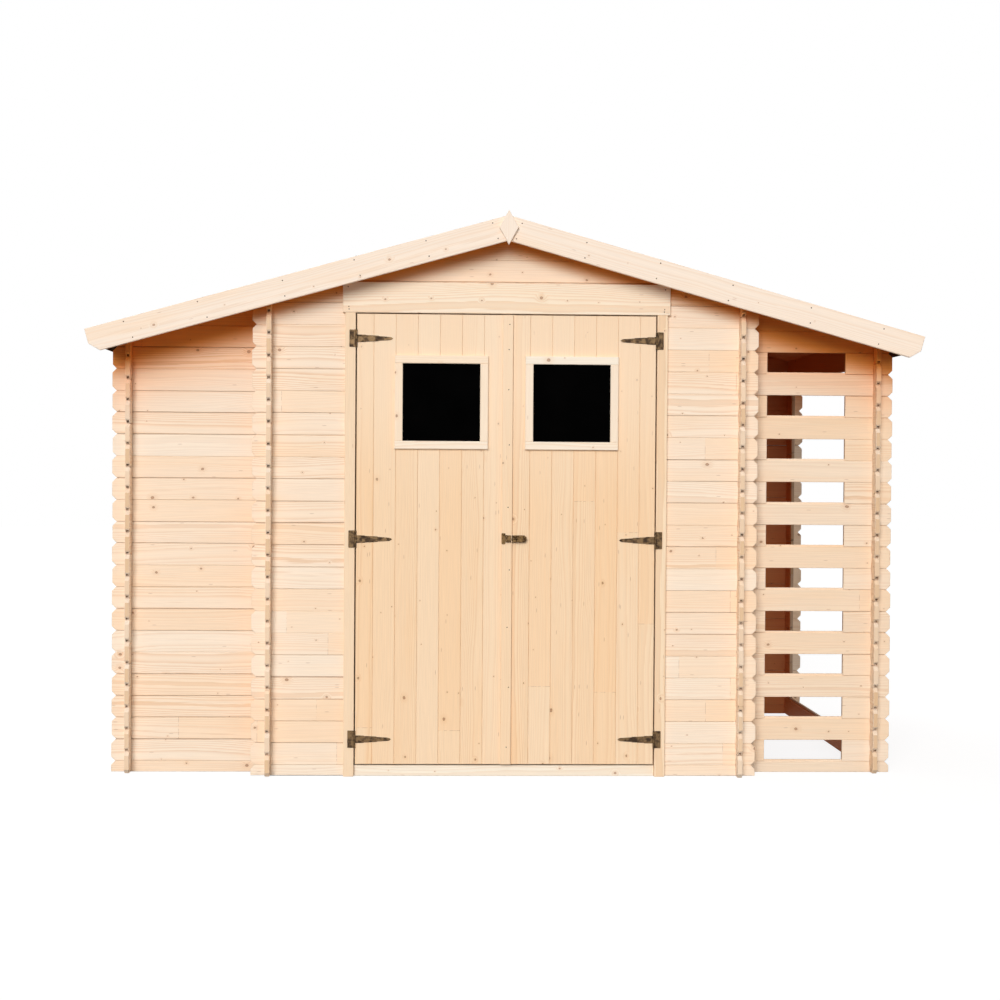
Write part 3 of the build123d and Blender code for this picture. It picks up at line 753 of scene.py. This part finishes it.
for side, cad_node in ((-1, "roof_boards_left"), (1, "roof_boards_right")):
    work = new_work()
    place = lambda u, v, w: on_roof(side, v, w, u)
    edge = eave
    while edge > ridge_gap:
        near = edge - course if edge - course > narrowest else ridge_gap
        outline = [(-roof_depth, near + hair), (roof_depth, near + hair), (roof_depth, edge), (-roof_depth, edge)]
        heart_z = on_roof(side, near, 0, 0)[2] + chance.uniform(-heart_play, heart_play)
        heart = (heart_z, side * near + chance.uniform(-0.1, 0.1))
        add_solid(work, outline, place, 0, roof_board, broad_corner, heart)
        edge = near
    fit(finish_work(work, cad_node + "_laid", roof_along_y), "shed", "roof_timber", cad_node)

# Felt: three strips of mineral felt on each slope, each lapped over the one below, turned down
# over the eaves and fixed with broad galvanised nails.
felt_finish, tree, shader = new_finish("mineral_felt")
place = node(tree, "TexCoord").outputs["Object"]
grit, weather = clouds(tree, place, 900.0), clouds(tree, place, 2.2, 5.0)
colour = blend(tree, ramp(tree, grit, 0.42, 0.66), tint(24, 24, 26), tint(72, 72, 74))
colour = blend(tree, ramp(tree, weather, 0.4, 0.75, 0.0, 0.35), colour, tint(84, 82, 80))
tree.links.new(colour, shader.inputs["Base Color"])
shader.inputs["Roughness"].default_value = 0.9
relieve(tree, shader, grit, 0.5, 0.0008)

felt_low, felt_thick, felt_drop, felt_stand = 0.0188, 0.0026, 0.062, 0.0004
flat_ripple, hem_ripple = 0.0003, 0.0012
lap, lap_rise = 0.07, 0.0026
strips = ((-0.006, 0.62), (0.55, 1.24), (1.17, eave))
cells_along, cells_down = 30, 24


def felt_path(start, stop):
    """Points of a strip's lower skin down the slope, as along, up and how far it may ripple."""
    steps = [start + (stop - start) * k / cells_down for k in range(cells_down + 1)]
    if stop < eave:
        return [(s, felt_low + lap_rise * max(0.0, (s - stop + lap) / lap) ** 2, flat_ripple) for s in steps]
    hem = ((0.0013, 0.0), (-0.006, 0.0), (felt_thick - felt_drop, hem_ripple))
    return [(s, felt_low, flat_ripple) for s in steps] + [(eave + felt_stand, felt_low + up, r) for up, r in hem]


def felt_skin(work, side, path, thick):
    """One skin of a strip, as rows of points from gable to gable."""
    rows = []
    for along, up, ripple in path:
        row = []
        for j in range(cells_along + 1):
            y = -roof_depth + 2 * roof_depth * j / cells_along
            wave = ripple * abs(math.sin(9.1 * y + 5 * along + side) * math.sin(7 * along + 2.2 * y))
            point = (along + wave + thick, up) if along > eave else (along, up + wave + thick)
            x, _, z = on_roof(side, *point, y)
            row.append(work.verts.new((side * max(side * x, 0), y, z)))
        rows.append(row)
    return rows


nail_inset, nail_sunk = 0.022, 0.0003
first_nail, nail_step, nail_count = -1.05, 0.15, 15
work, felt_nail_work = bmesh.new(), bmesh.new()
for side in (-1, 1):
    outward = (side * math.sin(pitch), 0, math.cos(pitch))
    for start, stop in strips:
        path = felt_path(start, stop)
        bottom, top = (felt_skin(work, side, path, thick) for thick in (0.0, felt_thick))
        for face in (bottom, top):
            for one, other in zip(face, face[1:]):
                for j in range(cells_along):
                    work.faces.new((one[j], one[j + 1], other[j + 1], other[j]))
        for edge in (0, cells_along):
            for k in range(len(path) - 1):
                work.faces.new((bottom[k][edge], bottom[k + 1][edge], top[k + 1][edge], top[k][edge]))
        for k in (0, len(path) - 1):
            for j in range(cells_along):
                work.faces.new((top[k][j], top[k][j + 1], bottom[k][j + 1], bottom[k][j]))
        nail_rise = felt_low + felt_thick + (lap_rise * 0.45 if stop < eave else 0.0) - nail_sunk
        for k in range(nail_count):
            y = first_nail + nail_step * k + chance.uniform(-0.008, 0.008)
            nail_head(felt_nail_work, on_roof(side, stop - nail_inset, nail_rise, y), 0.0045, 0.0009, outward)
fit(finish_work(work, "felt_strips", felt_finish), "shed", "felt", "roof_felt")
galvanised = metal("galvanised_steel", tint(168, 168, 166), tint(112, 112, 112), 0.45, 200.0)
fit(finish_work(felt_nail_work, "felt_nails", galvanised), "shed", "bolt_metal")

# Barge boards and finials: planed spruce boards nailed over the roof's edges with their lower
# corners clipped, and a diamond nailed over each mitre.
barge_width, barge_clip, barge_thick = 0.096, 0.036, 0.019
barge_front, mitre_gap, barge_corner = -1.1175, 0.00015, 0.0018
barge_colours = (tint(254, 235, 216), tint(240, 204, 168), tint(176, 120, 78))
barge_spruce = timber("barge_spruce", along_x_lie, *barge_colours, grain=0.4)
barge_end, barge_top = eave + 0.0113, 0.0213
barge_bottom = barge_top - barge_width
barge_nails_along = (0.06, 0.33, 0.62, 0.93, 1.25, 1.55)
barge_nails_up = (0.006, barge_bottom + 0.018)
nail_work = bmesh.new()
for side, side_name in ((-1, "left"), (1, "right")):
    lean = pitch if side > 0 else math.pi - pitch
    slope_frame = Matrix.Translation((0, 0, ridge_height)) @ Matrix.Rotation(lean, 4, "Y")
    for y_low, gable in ((barge_front, "front"), (-barge_front - barge_thick, "rear")):
        outline = [(mitre_gap - barge_top * slope, barge_top), (barge_end, barge_top),
                   (barge_end, barge_bottom + barge_clip), (barge_end - barge_clip, barge_bottom),
                   (mitre_gap - barge_bottom * slope, barge_bottom)]
        outline = [(along, side * up) for along, up in outline]
        work = new_work()
        heart = (chance.uniform(-heart_play, heart_play), y_low + chance.uniform(0.05, 0.09))
        tone = (0.5, chance.uniform(0.38, 0.6), far_off)
        add_solid(work, outline, front_place, y_low, y_low + barge_thick, barge_corner, heart, tone)
        piece = finish_work(work, f"{gable}_barge_board_{side_name}", barge_spruce)
        piece.matrix_world = slope_frame
        fit(piece, "shed", "trim_timber", f"{gable}_barge_{side_name}")
        face_y, way = (y_low, (0, -1, 0)) if gable == "front" else (y_low + barge_thick, (0, 1, 0))
        for along in barge_nails_along:
            for up in barge_nails_up:
                jitter = chance.uniform(-0.012, 0.012)
                x, _, z = on_roof(side, along + jitter, up + jitter * 0.3, 0)
                nail_head(nail_work, (x, face_y, z), 0.0026, 0.0008, way)
fit(finish_work(nail_work, "barge_nails", nail_steel), "shed", "bolt_metal")

work = new_work()
diamond_x, diamond_z, diamond_thick, diamond_corner = 0.038, 0.069, 0.016, 0.0022
middle = ridge_height + (barge_top - barge_width / 2) / math.cos(pitch)
diamond = [(0, middle - diamond_z), (diamond_x, middle), (0, middle + diamond_z), (-diamond_x, middle)]
for y_low in (barge_front - touch - diamond_thick, -barge_front + touch):
    heart, tone = (0.0, y_low + 0.05), (0.2, 0.3, far_off)
    add_solid(work, diamond, front_place, y_low, y_low + diamond_thick, diamond_corner, heart, tone)
finial_spruce = timber("finial_spruce", upright_lie, *barge_colours, grain=0.35, knots=0.0)
fit(finish_work(work, "finial_diamonds", finial_spruce), "shed", "trim_timber", "finials")

# Door leaves: upright tongued spruce boards with a small vee at each joint and a hole for the window,
# held together by three ledges and a brace that are screwed on behind.
door_colours = (tint(250, 218, 181), tint(230, 180, 128), tint(146, 88, 48))
# The upright door boards carry painted light that grows paler towards their tops.
door_upright = timber("door_spruce_upright", upright_lie, *door_colours, grain=0.42, knots=0.68,
                      painted_light_top=(1.0, 1.65, tint(253, 229, 201)))
door_level = timber("door_spruce_level", along_x_lie, *door_colours)
leaf_low, leaf_high, leaf_face, leaf_back = 0.05, 1.848, -1.0065, -0.9905
window_x, window_z, hole_half = 0.2605, 1.4975, 0.1625
leaf_edges = {"left": (-0.598, 0.0195), "right": (0.0255, 0.598)}
first_joint = {"left": -0.530, "right": 0.0945}
hinge_heights = (0.15, 0.95, 1.75)
ledge_inset, ledge_half, ledge_chamfer, brace_foot = 0.032, 0.044, 0.0025, 0.088


def leaf_board(work, x_low, x_high, hole):
    """One upright board of a leaf, cut away where it meets the window's hole."""
    hole_low, hole_high = hole
    z_low, z_high = window_z - hole_half, window_z + hole_half
    left, right = x_low + hair, x_high - hair
    outlines = []
    if x_high <= hole_low or x_low >= hole_high:
        outlines.append([(left, leaf_low), (right, leaf_low), (right, leaf_high), (left, leaf_high)])
    elif x_low >= hole_low and x_high <= hole_high:
        outlines.append([(left, leaf_low), (right, leaf_low), (right, z_low), (left, z_low)])
        outlines.append([(left, z_high), (right, z_high), (right, leaf_high), (left, leaf_high)])
    elif x_low < hole_low:
        outlines.append([(left, leaf_low), (right, leaf_low), (right, z_low), (hole_low, z_low),
                         (hole_low, z_high), (right, z_high), (right, leaf_high), (left, leaf_high)])
    else:
        outlines.append([(left, leaf_low), (right, leaf_low), (right, leaf_high), (left, leaf_high),
                         (left, z_high), (hole_high, z_high), (hole_high, z_low), (left, z_low)])
    heart = ((x_low + x_high) / 2 + chance.uniform(-heart_play, heart_play), leaf_back + chance.uniform(0.02, 0.09))
    tone = (chance.random(), chance.random(), chance.uniform(0.1, 1.7) if chance.random() < joined_share else far_off)
    for outline in outlines:
        add_solid(work, outline, front_place, leaf_face, leaf_back, vee, heart, tone)


for side, name in ((-1, "left"), (1, "right")):
    low_edge, high_edge = leaf_edges[name]
    joints = [first_joint[name] + course * k for k in range(7)]
    joints = [low_edge] + [x for x in joints if x < high_edge - narrowest] + [high_edge]
    hole = (side * window_x - hole_half, side * window_x + hole_half)
    work = new_work()
    for x_low, x_high in zip(joints, joints[1:]):
        leaf_board(work, x_low, x_high, hole)
    fit(finish_work(work, f"{name}_leaf_boards", door_upright), f"{name}_door", "door_timber", f"{name}_door_boards")

    work = new_work()
    ledge_y = (leaf_back + touch, leaf_back + touch + thickness)
    ledge_low, ledge_high = low_edge + ledge_inset, high_edge - ledge_inset
    for z in hinge_heights:
        plank(work, ledge_low, ledge_high, *ledge_y, z - ledge_half, z + ledge_half, ledge_chamfer)
    foot, top = hinge_heights[0] + ledge_half + touch, hinge_heights[1] - ledge_half - touch
    hinge_end, meeting_end = (ledge_high, ledge_low) if side > 0 else (ledge_low, ledge_high)
    across = brace_foot * side
    brace = [(hinge_end, foot), (hinge_end - across, foot), (meeting_end, top), (meeting_end + across, top)]
    add_solid(work, brace, front_place, *ledge_y, ledge_chamfer, (0.5, ledge_y[1] + 0.05))
    fit(finish_work(work, f"{name}_leaf_ledges", door_level), f"{name}_door", "door_timber", f"{name}_door_ledges")

# Cover strip: a thin planed lath that covers the gap between the leaves, nailed along the left
# leaf's meeting edge from top to bottom.
strip_left, strip_right, strip_thick, strip_nail_x = -0.0175, 0.0252, 0.009, 0.011
strip_nail_heights = (0.12, 0.36, 0.6, 0.83, 1.08, 1.33, 1.55, 1.71, 1.81)
strip_back = leaf_face - touch
strip_face = strip_back - strip_thick
strip = [(strip_left, leaf_low), (strip_right, leaf_low), (strip_right, leaf_high), (strip_left, leaf_high)]
work = new_work()
add_solid(work, strip, front_place, strip_face, strip_back, broad_corner, (0.03, leaf_face + 0.06))
fit(finish_work(work, "cover_lath", door_upright), "left_door", "door_timber", "door_cover_strip")
work = new_work()
for z in strip_nail_heights:
    nail_head(work, (strip_nail_x + nail_play * math.sin(40 * z), strip_face, z), 0.0022)
fit(finish_work(work, "cover_lath_nails", nail_steel), "left_door", "bolt_metal")

# Door windows: a dark glass pane in each hole, held by planed spruce laths in front and behind,
# the level laths full width and the upright ones between them.
pane_finish, tree, shader = new_finish("dark_pane")
smear = clouds(tree, node(tree, "TexCoord").outputs["Object"], 6.0, 4.0)
pane_dark, pane_smear = (0.0002, 0.0002, 0.0002, 1), (0.0009, 0.0008, 0.0008, 1)
tree.links.new(blend(tree, ramp(tree, smear, 0.3, 0.8), pane_dark, pane_smear), shader.inputs["Base Color"])
tree.links.new(ramp(tree, smear, 0.3, 0.8, 0.03, 0.12), shader.inputs["Roughness"])
shader.inputs["Specular IOR Level"].default_value = 0.008
lath_colours = (tint(254, 236, 214), tint(238, 196, 154), tint(160, 100, 56))
lath_level = timber("lath_spruce_level", along_x_lie, *lath_colours, grain=0.4)
lath_upright = timber("lath_spruce_upright", upright_lie, *lath_colours, grain=0.4)
front_lath, back_lath = 0.014, 0.012
frame_outer, frame_inner = 0.1865, 0.1545
for side, name in ((-1, "left"), (1, "right")):
    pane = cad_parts[f"{name}_window_pane"]
    pane.data.materials.clear()
    pane.data.materials.append(pane_finish)
    work_level, work_upright = new_work(), new_work()
    x, upright_half = side * window_x, frame_inner - touch
    for y_low, y_high in ((leaf_face - touch - front_lath, leaf_face - touch),
                          (leaf_back + touch, leaf_back + touch + back_lath)):
        for way in (-1, 1):
            z_low, z_high = sorted((window_z + way * frame_inner, window_z + way * frame_outer))
            plank(work_level, x - frame_outer, x + frame_outer, y_low, y_high, z_low, z_high, broad_corner)
            x_low, x_high = sorted((x + way * frame_inner, x + way * frame_outer))
            plank(work_upright, x_low, x_high, y_low, y_high, window_z - upright_half, window_z + upright_half,
                  broad_corner)
    for work, kind, finish in ((work_level, "level", lath_level), (work_upright, "upright", lath_upright)):
        laths = finish_work(work, f"{name}_window_{kind}_laths", finish)
        fit(laths, f"{name}_door", "trim_timber", f"{name}_window_frame")

# Tee hinges: pressed steel with a yellow passivated skin gone brown, a plate on the jamb and a
# stepped strap on the leaf, with rolled knuckles on one pin and cross-headed screws.
zinc = metal("yellow_zinc", tint(104, 82, 56), tint(54, 40, 28), 0.42, 60.0, 0.85)
hinge_x, hinge_y, hinge_back, sheet = 0.6005, -1.0113, -1.0068, 0.0025
knuckle_radius, plate_half, root_half = 0.0045, 0.0345, 0.0155
plate_edges = (0.0031, 0.0275)
knuckle_gap, rolled_edge, pin_radius, pin_short = 0.0005, 0.0004, 0.002, 0.001
plate_corner, plate_edge, strap_edge = 0.002, 0.0005, 0.0006
strap_steps = ((0.0, root_half), (0.037, 0.0146), (0.039, 0.0131), (0.088, 0.0108), (0.090, 0.0092), (0.134, 0.0064),
               (0.1405, 0.0044), (0.146, 0.0))
plate_screws = ((0.0165, -0.0245), (0.0125, 0.0), (0.0165, 0.0245))
strap_screws = ((0.0245, 0.0085), (0.0245, -0.0085), (0.064, 0.0), (0.118, 0.0))
small_screw = 0.0028


def knuckle(work, x, z_low, z_high):
    """One rolled knuckle of a hinge."""
    length = z_high - z_low
    rim = knuckle_radius - rolled_edge
    rings = ((rim, 0), (knuckle_radius, rolled_edge), (knuckle_radius, length - rolled_edge), (rim, length))
    turned(work, (x, hinge_y, z_low), (0, 0, 1), rings, 20)


def screw_head(work, x, y, z, radius=0.0032, rise=0.0009):
    """A screw's head with a cross cut in it: four quarters with a slot between them, at an angle of its own."""
    angle = chance.uniform(0, math.tau)
    place = lambda u, v, w: (x + u, y + w, z + v)
    slot_corner = math.sqrt(2) * 0.16 * radius
    for quarter in range(4):
        start = angle + math.tau * quarter / 4
        arc = [start + math.tau / 4 * share for share in (0.08, 0.29, 0.5, 0.71, 0.92)]
        corner = (slot_corner * math.cos(arc[2]), slot_corner * math.sin(arc[2]))
        outline = [corner] + [(radius * math.cos(a), radius * math.sin(a)) for a in arc]
        add_solid(work, outline, place, -rise, 0.0006, 0.0003)
    turned(work, (x, y, z), (0, -1, 0), ((radius, -0.0005), (radius, 0.0002), (0.9 * radius, 0.0003)), 14)


plates = new_work()
for side, name in ((-1, "left"), (1, "right")):
    straps = new_work()
    for z in hinge_heights:
        x = side * hinge_x
        inner, outer = (x + side * edge for edge in plate_edges)
        low, high = z - plate_half, z + plate_half
        plate = eased([(inner, low), (outer, low), (outer, high), (inner, high)], plate_corner)
        add_solid(plates, plate, front_place, hinge_back - sheet, hinge_back, plate_edge)
        knuckle(plates, x, low, z - root_half - knuckle_gap)
        knuckle(plates, x, z + root_half + knuckle_gap, high)
        pin = ((pin_radius, 0), (pin_radius, 2 * (plate_half - pin_short)))
        turned(plates, (x, hinge_y, low + pin_short), (0, 0, 1), pin)
        for across, up in plate_screws:
            screw_head(plates, x + side * across, hinge_back - sheet, z + up)
        outline = [(x - side * d, z + half) for d, half in strap_steps]
        outline += [(x - side * d, z - half) for d, half in reversed(strap_steps[:-1])]
        add_solid(straps, outline, front_place, hinge_back - sheet, hinge_back, strap_edge)
        knuckle(straps, x, z - root_half, z + root_half)
        for along, up in strap_screws:
            screw_head(straps, x - side * along, hinge_back - sheet, z + up, small_screw)
    fit(finish_work(straps, f"{name}_pressed_straps", zinc), f"{name}_door", "zinc_hinge", f"{name}_hinge_straps")
fit(finish_work(plates, "pressed_hinge_plates", zinc), "shed", "zinc_hinge", "hinge_plates")

# Bolt: browned brass, a keep of a plate and a bridge screwed to the cover strip, a round-ended
# cast body on the right leaf, and a bar with a knob that slides in its bore.
brass = metal("browned_brass", tint(112, 88, 58), tint(48, 34, 22), 0.26, 90.0)
bolt_y, bolt_z = -1.0218, 0.955
body_half, body_corner, bore, past_bore, bore_spare = 0.0135, 0.0022, 0.005, 0.01, 0.0005
keep_seat, keep_edge, bridge_edge, strip_edge = -1.0161, -0.0175, -0.0012, 0.0195
keep_half, keep_thick, keep_meeting, cast_edge = 0.022, 0.002, -0.0015, 0.0006
keep_screw_x, keep_screw_up = -0.0095, 0.0165
body_left, body_right, body_face = 0.0255, 0.083, -1.0278
bar_left, bar_right, bar_radius, knob_x = 0.0275, 0.0715, 0.0045, 0.0495
slot_low, slot_high, slot_half = 0.0295, 0.0535, 0.004


def carve(piece, cutters):
    """Takes the cutters' solids out of a piece."""
    tool = finish_work(cutters, piece.name + "_cutters")
    cut = piece.modifiers.new("carve", "BOOLEAN")
    cut.operation, cut.solver, cut.object = "DIFFERENCE", "EXACT", tool
    bpy.context.view_layer.update()
    shaped = bpy.data.meshes.new_from_object(piece.evaluated_get(bpy.context.evaluated_depsgraph_get()))
    piece.modifiers.clear()
    plain, spent = piece.data, tool.data
    piece.data = shaped
    shaped.name = plain.name
    bpy.data.objects.remove(tool)
    for mesh in (plain, spent):
        bpy.data.meshes.remove(mesh)


def along_place(u, v, w):
    """A point of an outline that faces along the front, at a distance along it."""
    return (w, u, v)


work = new_work()
low, high = bolt_z - keep_half, bolt_z + keep_half
keep_plate = [(keep_edge, low), (keep_meeting, low), (keep_meeting, high), (keep_edge, high)]
keep_face = keep_seat - keep_thick
add_solid(work, eased(keep_plate, plate_corner), front_place, keep_face, keep_seat, cast_edge)
bridge_back, bridge_front = bolt_y - bore, bolt_y - bore - keep_thick
half_bridge = [(keep_seat, body_half), (bridge_back, body_half), (bridge_front, body_half - keep_thick)]
bridge = [(keep_seat, bolt_z - body_half), (keep_seat, bolt_z - bore), (bridge_back, bolt_z - bore),
          (bridge_back, bolt_z + bore), (keep_seat, bolt_z + bore)]
bridge += [(y, bolt_z + up) for y, up in half_bridge] + [(y, bolt_z - up) for y, up in half_bridge[:0:-1]]
add_solid(work, bridge, along_place, bridge_edge, strip_edge, cast_edge)
for up in (-keep_screw_up, keep_screw_up):
    screw_head(work, keep_screw_x, keep_face, bolt_z + up, small_screw)
fit(finish_work(work, "cast_bolt_keep", brass), "left_door", "bolt_metal", "bolt_keep")

work, cutters = new_work(), new_work()
round_centre = body_right - body_half
turns = [math.pi * (k / 12 - 0.5) for k in range(13)]
body = [(body_left, bolt_z + body_half), (body_left, bolt_z - body_half)]
body += [(round_centre + body_half * math.cos(a), bolt_z + body_half * math.sin(a)) for a in turns]
add_solid(work, body, front_place, body_face, hinge_back, body_corner)
slot = [(slot_low, bolt_z - slot_half), (slot_high, bolt_z - slot_half), (slot_high, bolt_z + slot_half),
        (slot_low, bolt_z + slot_half)]
add_solid(cutters, slot, front_place, body_face - past_bore, bolt_y, hair)
bolt_body = finish_work(work, "cast_bolt_body", brass)
carve(bolt_body, cutters)
cutters = new_work()
bore_length = bar_right + bore_spare - body_left + past_bore
turned(cutters, (body_left - past_bore, bolt_y, bolt_z), (1, 0, 0), ((bore, 0), (bore, bore_length)), 24)
carve(bolt_body, cutters)
fit(bolt_body, "right_door", "bolt_metal", "bolt_body")

work = new_work()
bar_length = bar_right - bar_left
bar_rings = ((bar_radius - 0.001, 0), (bar_radius, 0.001), (bar_radius, bar_length - 0.0005),
             (bar_radius - 0.0005, bar_length))
turned(work, (bar_left, bolt_y, bolt_z), (1, 0, 0), bar_rings, 24)
knob_length = bolt_y - (body_face - 0.006)
knob_rings = ((0.0024, 0), (0.0024, knob_length - 0.006), (0.0034, knob_length - 0.0048),
              (0.0035, knob_length - 0.0015), (0.0024, knob_length))
turned(work, (knob_x, bolt_y, bolt_z), (0, -1, 0), knob_rings, 20)
fit(finish_work(work, "bolt_bar_and_knob", brass), "bolt", "bolt_metal", "bolt_bar")

# Ground: a wide matt floor that looks white where it lies open and keeps the shed's shadow. Under
# the room and the closed bay it stays grey, as a floor in shade.
floor_half, floor_drop, floor_glow = 30, 0.0005, 0.86
corners = [(x * floor_half, y * floor_half, -floor_drop) for x, y in ((-1, -1), (1, -1), (1, 1), (-1, 1))]
ground = bpy.data.meshes.new("pale_floor")
ground.from_pydata(corners, [], [(0, 1, 2, 3)])
floor = bpy.data.objects.new("pale_floor", ground)
bpy.context.scene.collection.objects.link(floor)


def seen_plainly(tree):
    """1 for what the eye, a mirror or glass shows, and 0 for the light that a surface throws on others."""
    path = node(tree, "LightPath").outputs
    through = reckon(tree, "MAXIMUM", path["Is Glossy Ray"], path["Is Transmission Ray"])
    return reckon(tree, "MAXIMUM", path["Is Camera Ray"], through)


floor_finish, tree, shader = new_finish("pale_ground")
shader.inputs["Base Color"].default_value = (0.25, 0.245, 0.24, 1)
shader.inputs["Roughness"].default_value = 0.95
shader.inputs["Specular IOR Level"].default_value = 0.0
shader.inputs["Emission Color"].default_value = (1, 1, 1, 1)
spot = split(tree, node(tree, "TexCoord").outputs["Object"])
bay_x, bay_half_x = -(room_x + outer_x) / 2, (outer_x - room_x) / 2
bay_middle, bay_half_y = (rear_y + bay_y) / 2, (rear_y - bay_y) / 2
covered = []
for x, half_x, y, half_y in ((0.0, room_x, 0.0, rear_y), (bay_x, bay_half_x, bay_middle, bay_half_y)):
    within_x = reckon(tree, "COMPARE", spot[0], x, half_x)
    covered.append(times(tree, within_x, reckon(tree, "COMPARE", spot[1], y, half_y)))
open_floor = reckon(tree, "SUBTRACT", 1.0, reckon(tree, "MAXIMUM", *covered))
tree.links.new(times(tree, seen_plainly(tree), floor_glow, open_floor), shader.inputs["Emission Strength"])
ground.materials.append(floor_finish)

# Light: an even pale sky that looks white, a broad soft key lamp from the upper left of the front,
# and two weak lamps that keep the right side and the rear from going dark.
sky_light = 0.33
world = bpy.data.worlds.new("studio")
bpy.context.scene.world = world
world.use_nodes = True
tree = world.node_tree
background = tree.nodes["Background"]
background.inputs["Color"].default_value = (1, 1, 1, 1)
sky = reckon(tree, "MULTIPLY_ADD", seen_plainly(tree), 1 - sky_light, sky_light)
tree.links.new(sky, background.inputs["Strength"])
for name, toward, strength, spread in (("key", (-0.22, -0.95, 0.31), 2.3, 28), ("side", (0.85, -0.45, 0.3), 0.28, 60),
                                       ("back", (-0.6, 0.6, 0.6), 0.6, 60)):
    lamp = bpy.data.lights.new(name, "SUN")
    lamp.energy = strength
    lamp.angle = math.radians(spread)
    hung = bpy.data.objects.new(name, lamp)
    hung.rotation_euler = Vector(toward).to_track_quat("Z", "Y").to_euler()
    bpy.context.scene.collection.objects.link(hung)

# Camera: a long lens at eye height, a little left of the middle, turned slightly to the right and
# down, for a square picture.
eye_place = (-0.302, -8.4875, 1.228)
to_right, downward, rolled = 2.129, 0.908, 0.388
view = bpy.data.cameras.new("eye")
view.lens = 67.4
view.sensor_width = 36
eye = bpy.data.objects.new("eye", view)
turn = (Matrix.Rotation(math.radians(-to_right), 4, "Z") @ Matrix.Rotation(math.radians(90 - downward), 4, "X")
        @ Matrix.Rotation(math.radians(rolled), 4, "Z"))
eye.matrix_world = Matrix.Translation(eye_place) @ turn
bpy.context.scene.collection.objects.link(eye)
bpy.context.scene.camera = eye
bpy.context.scene.view_settings.view_transform = "Standard"
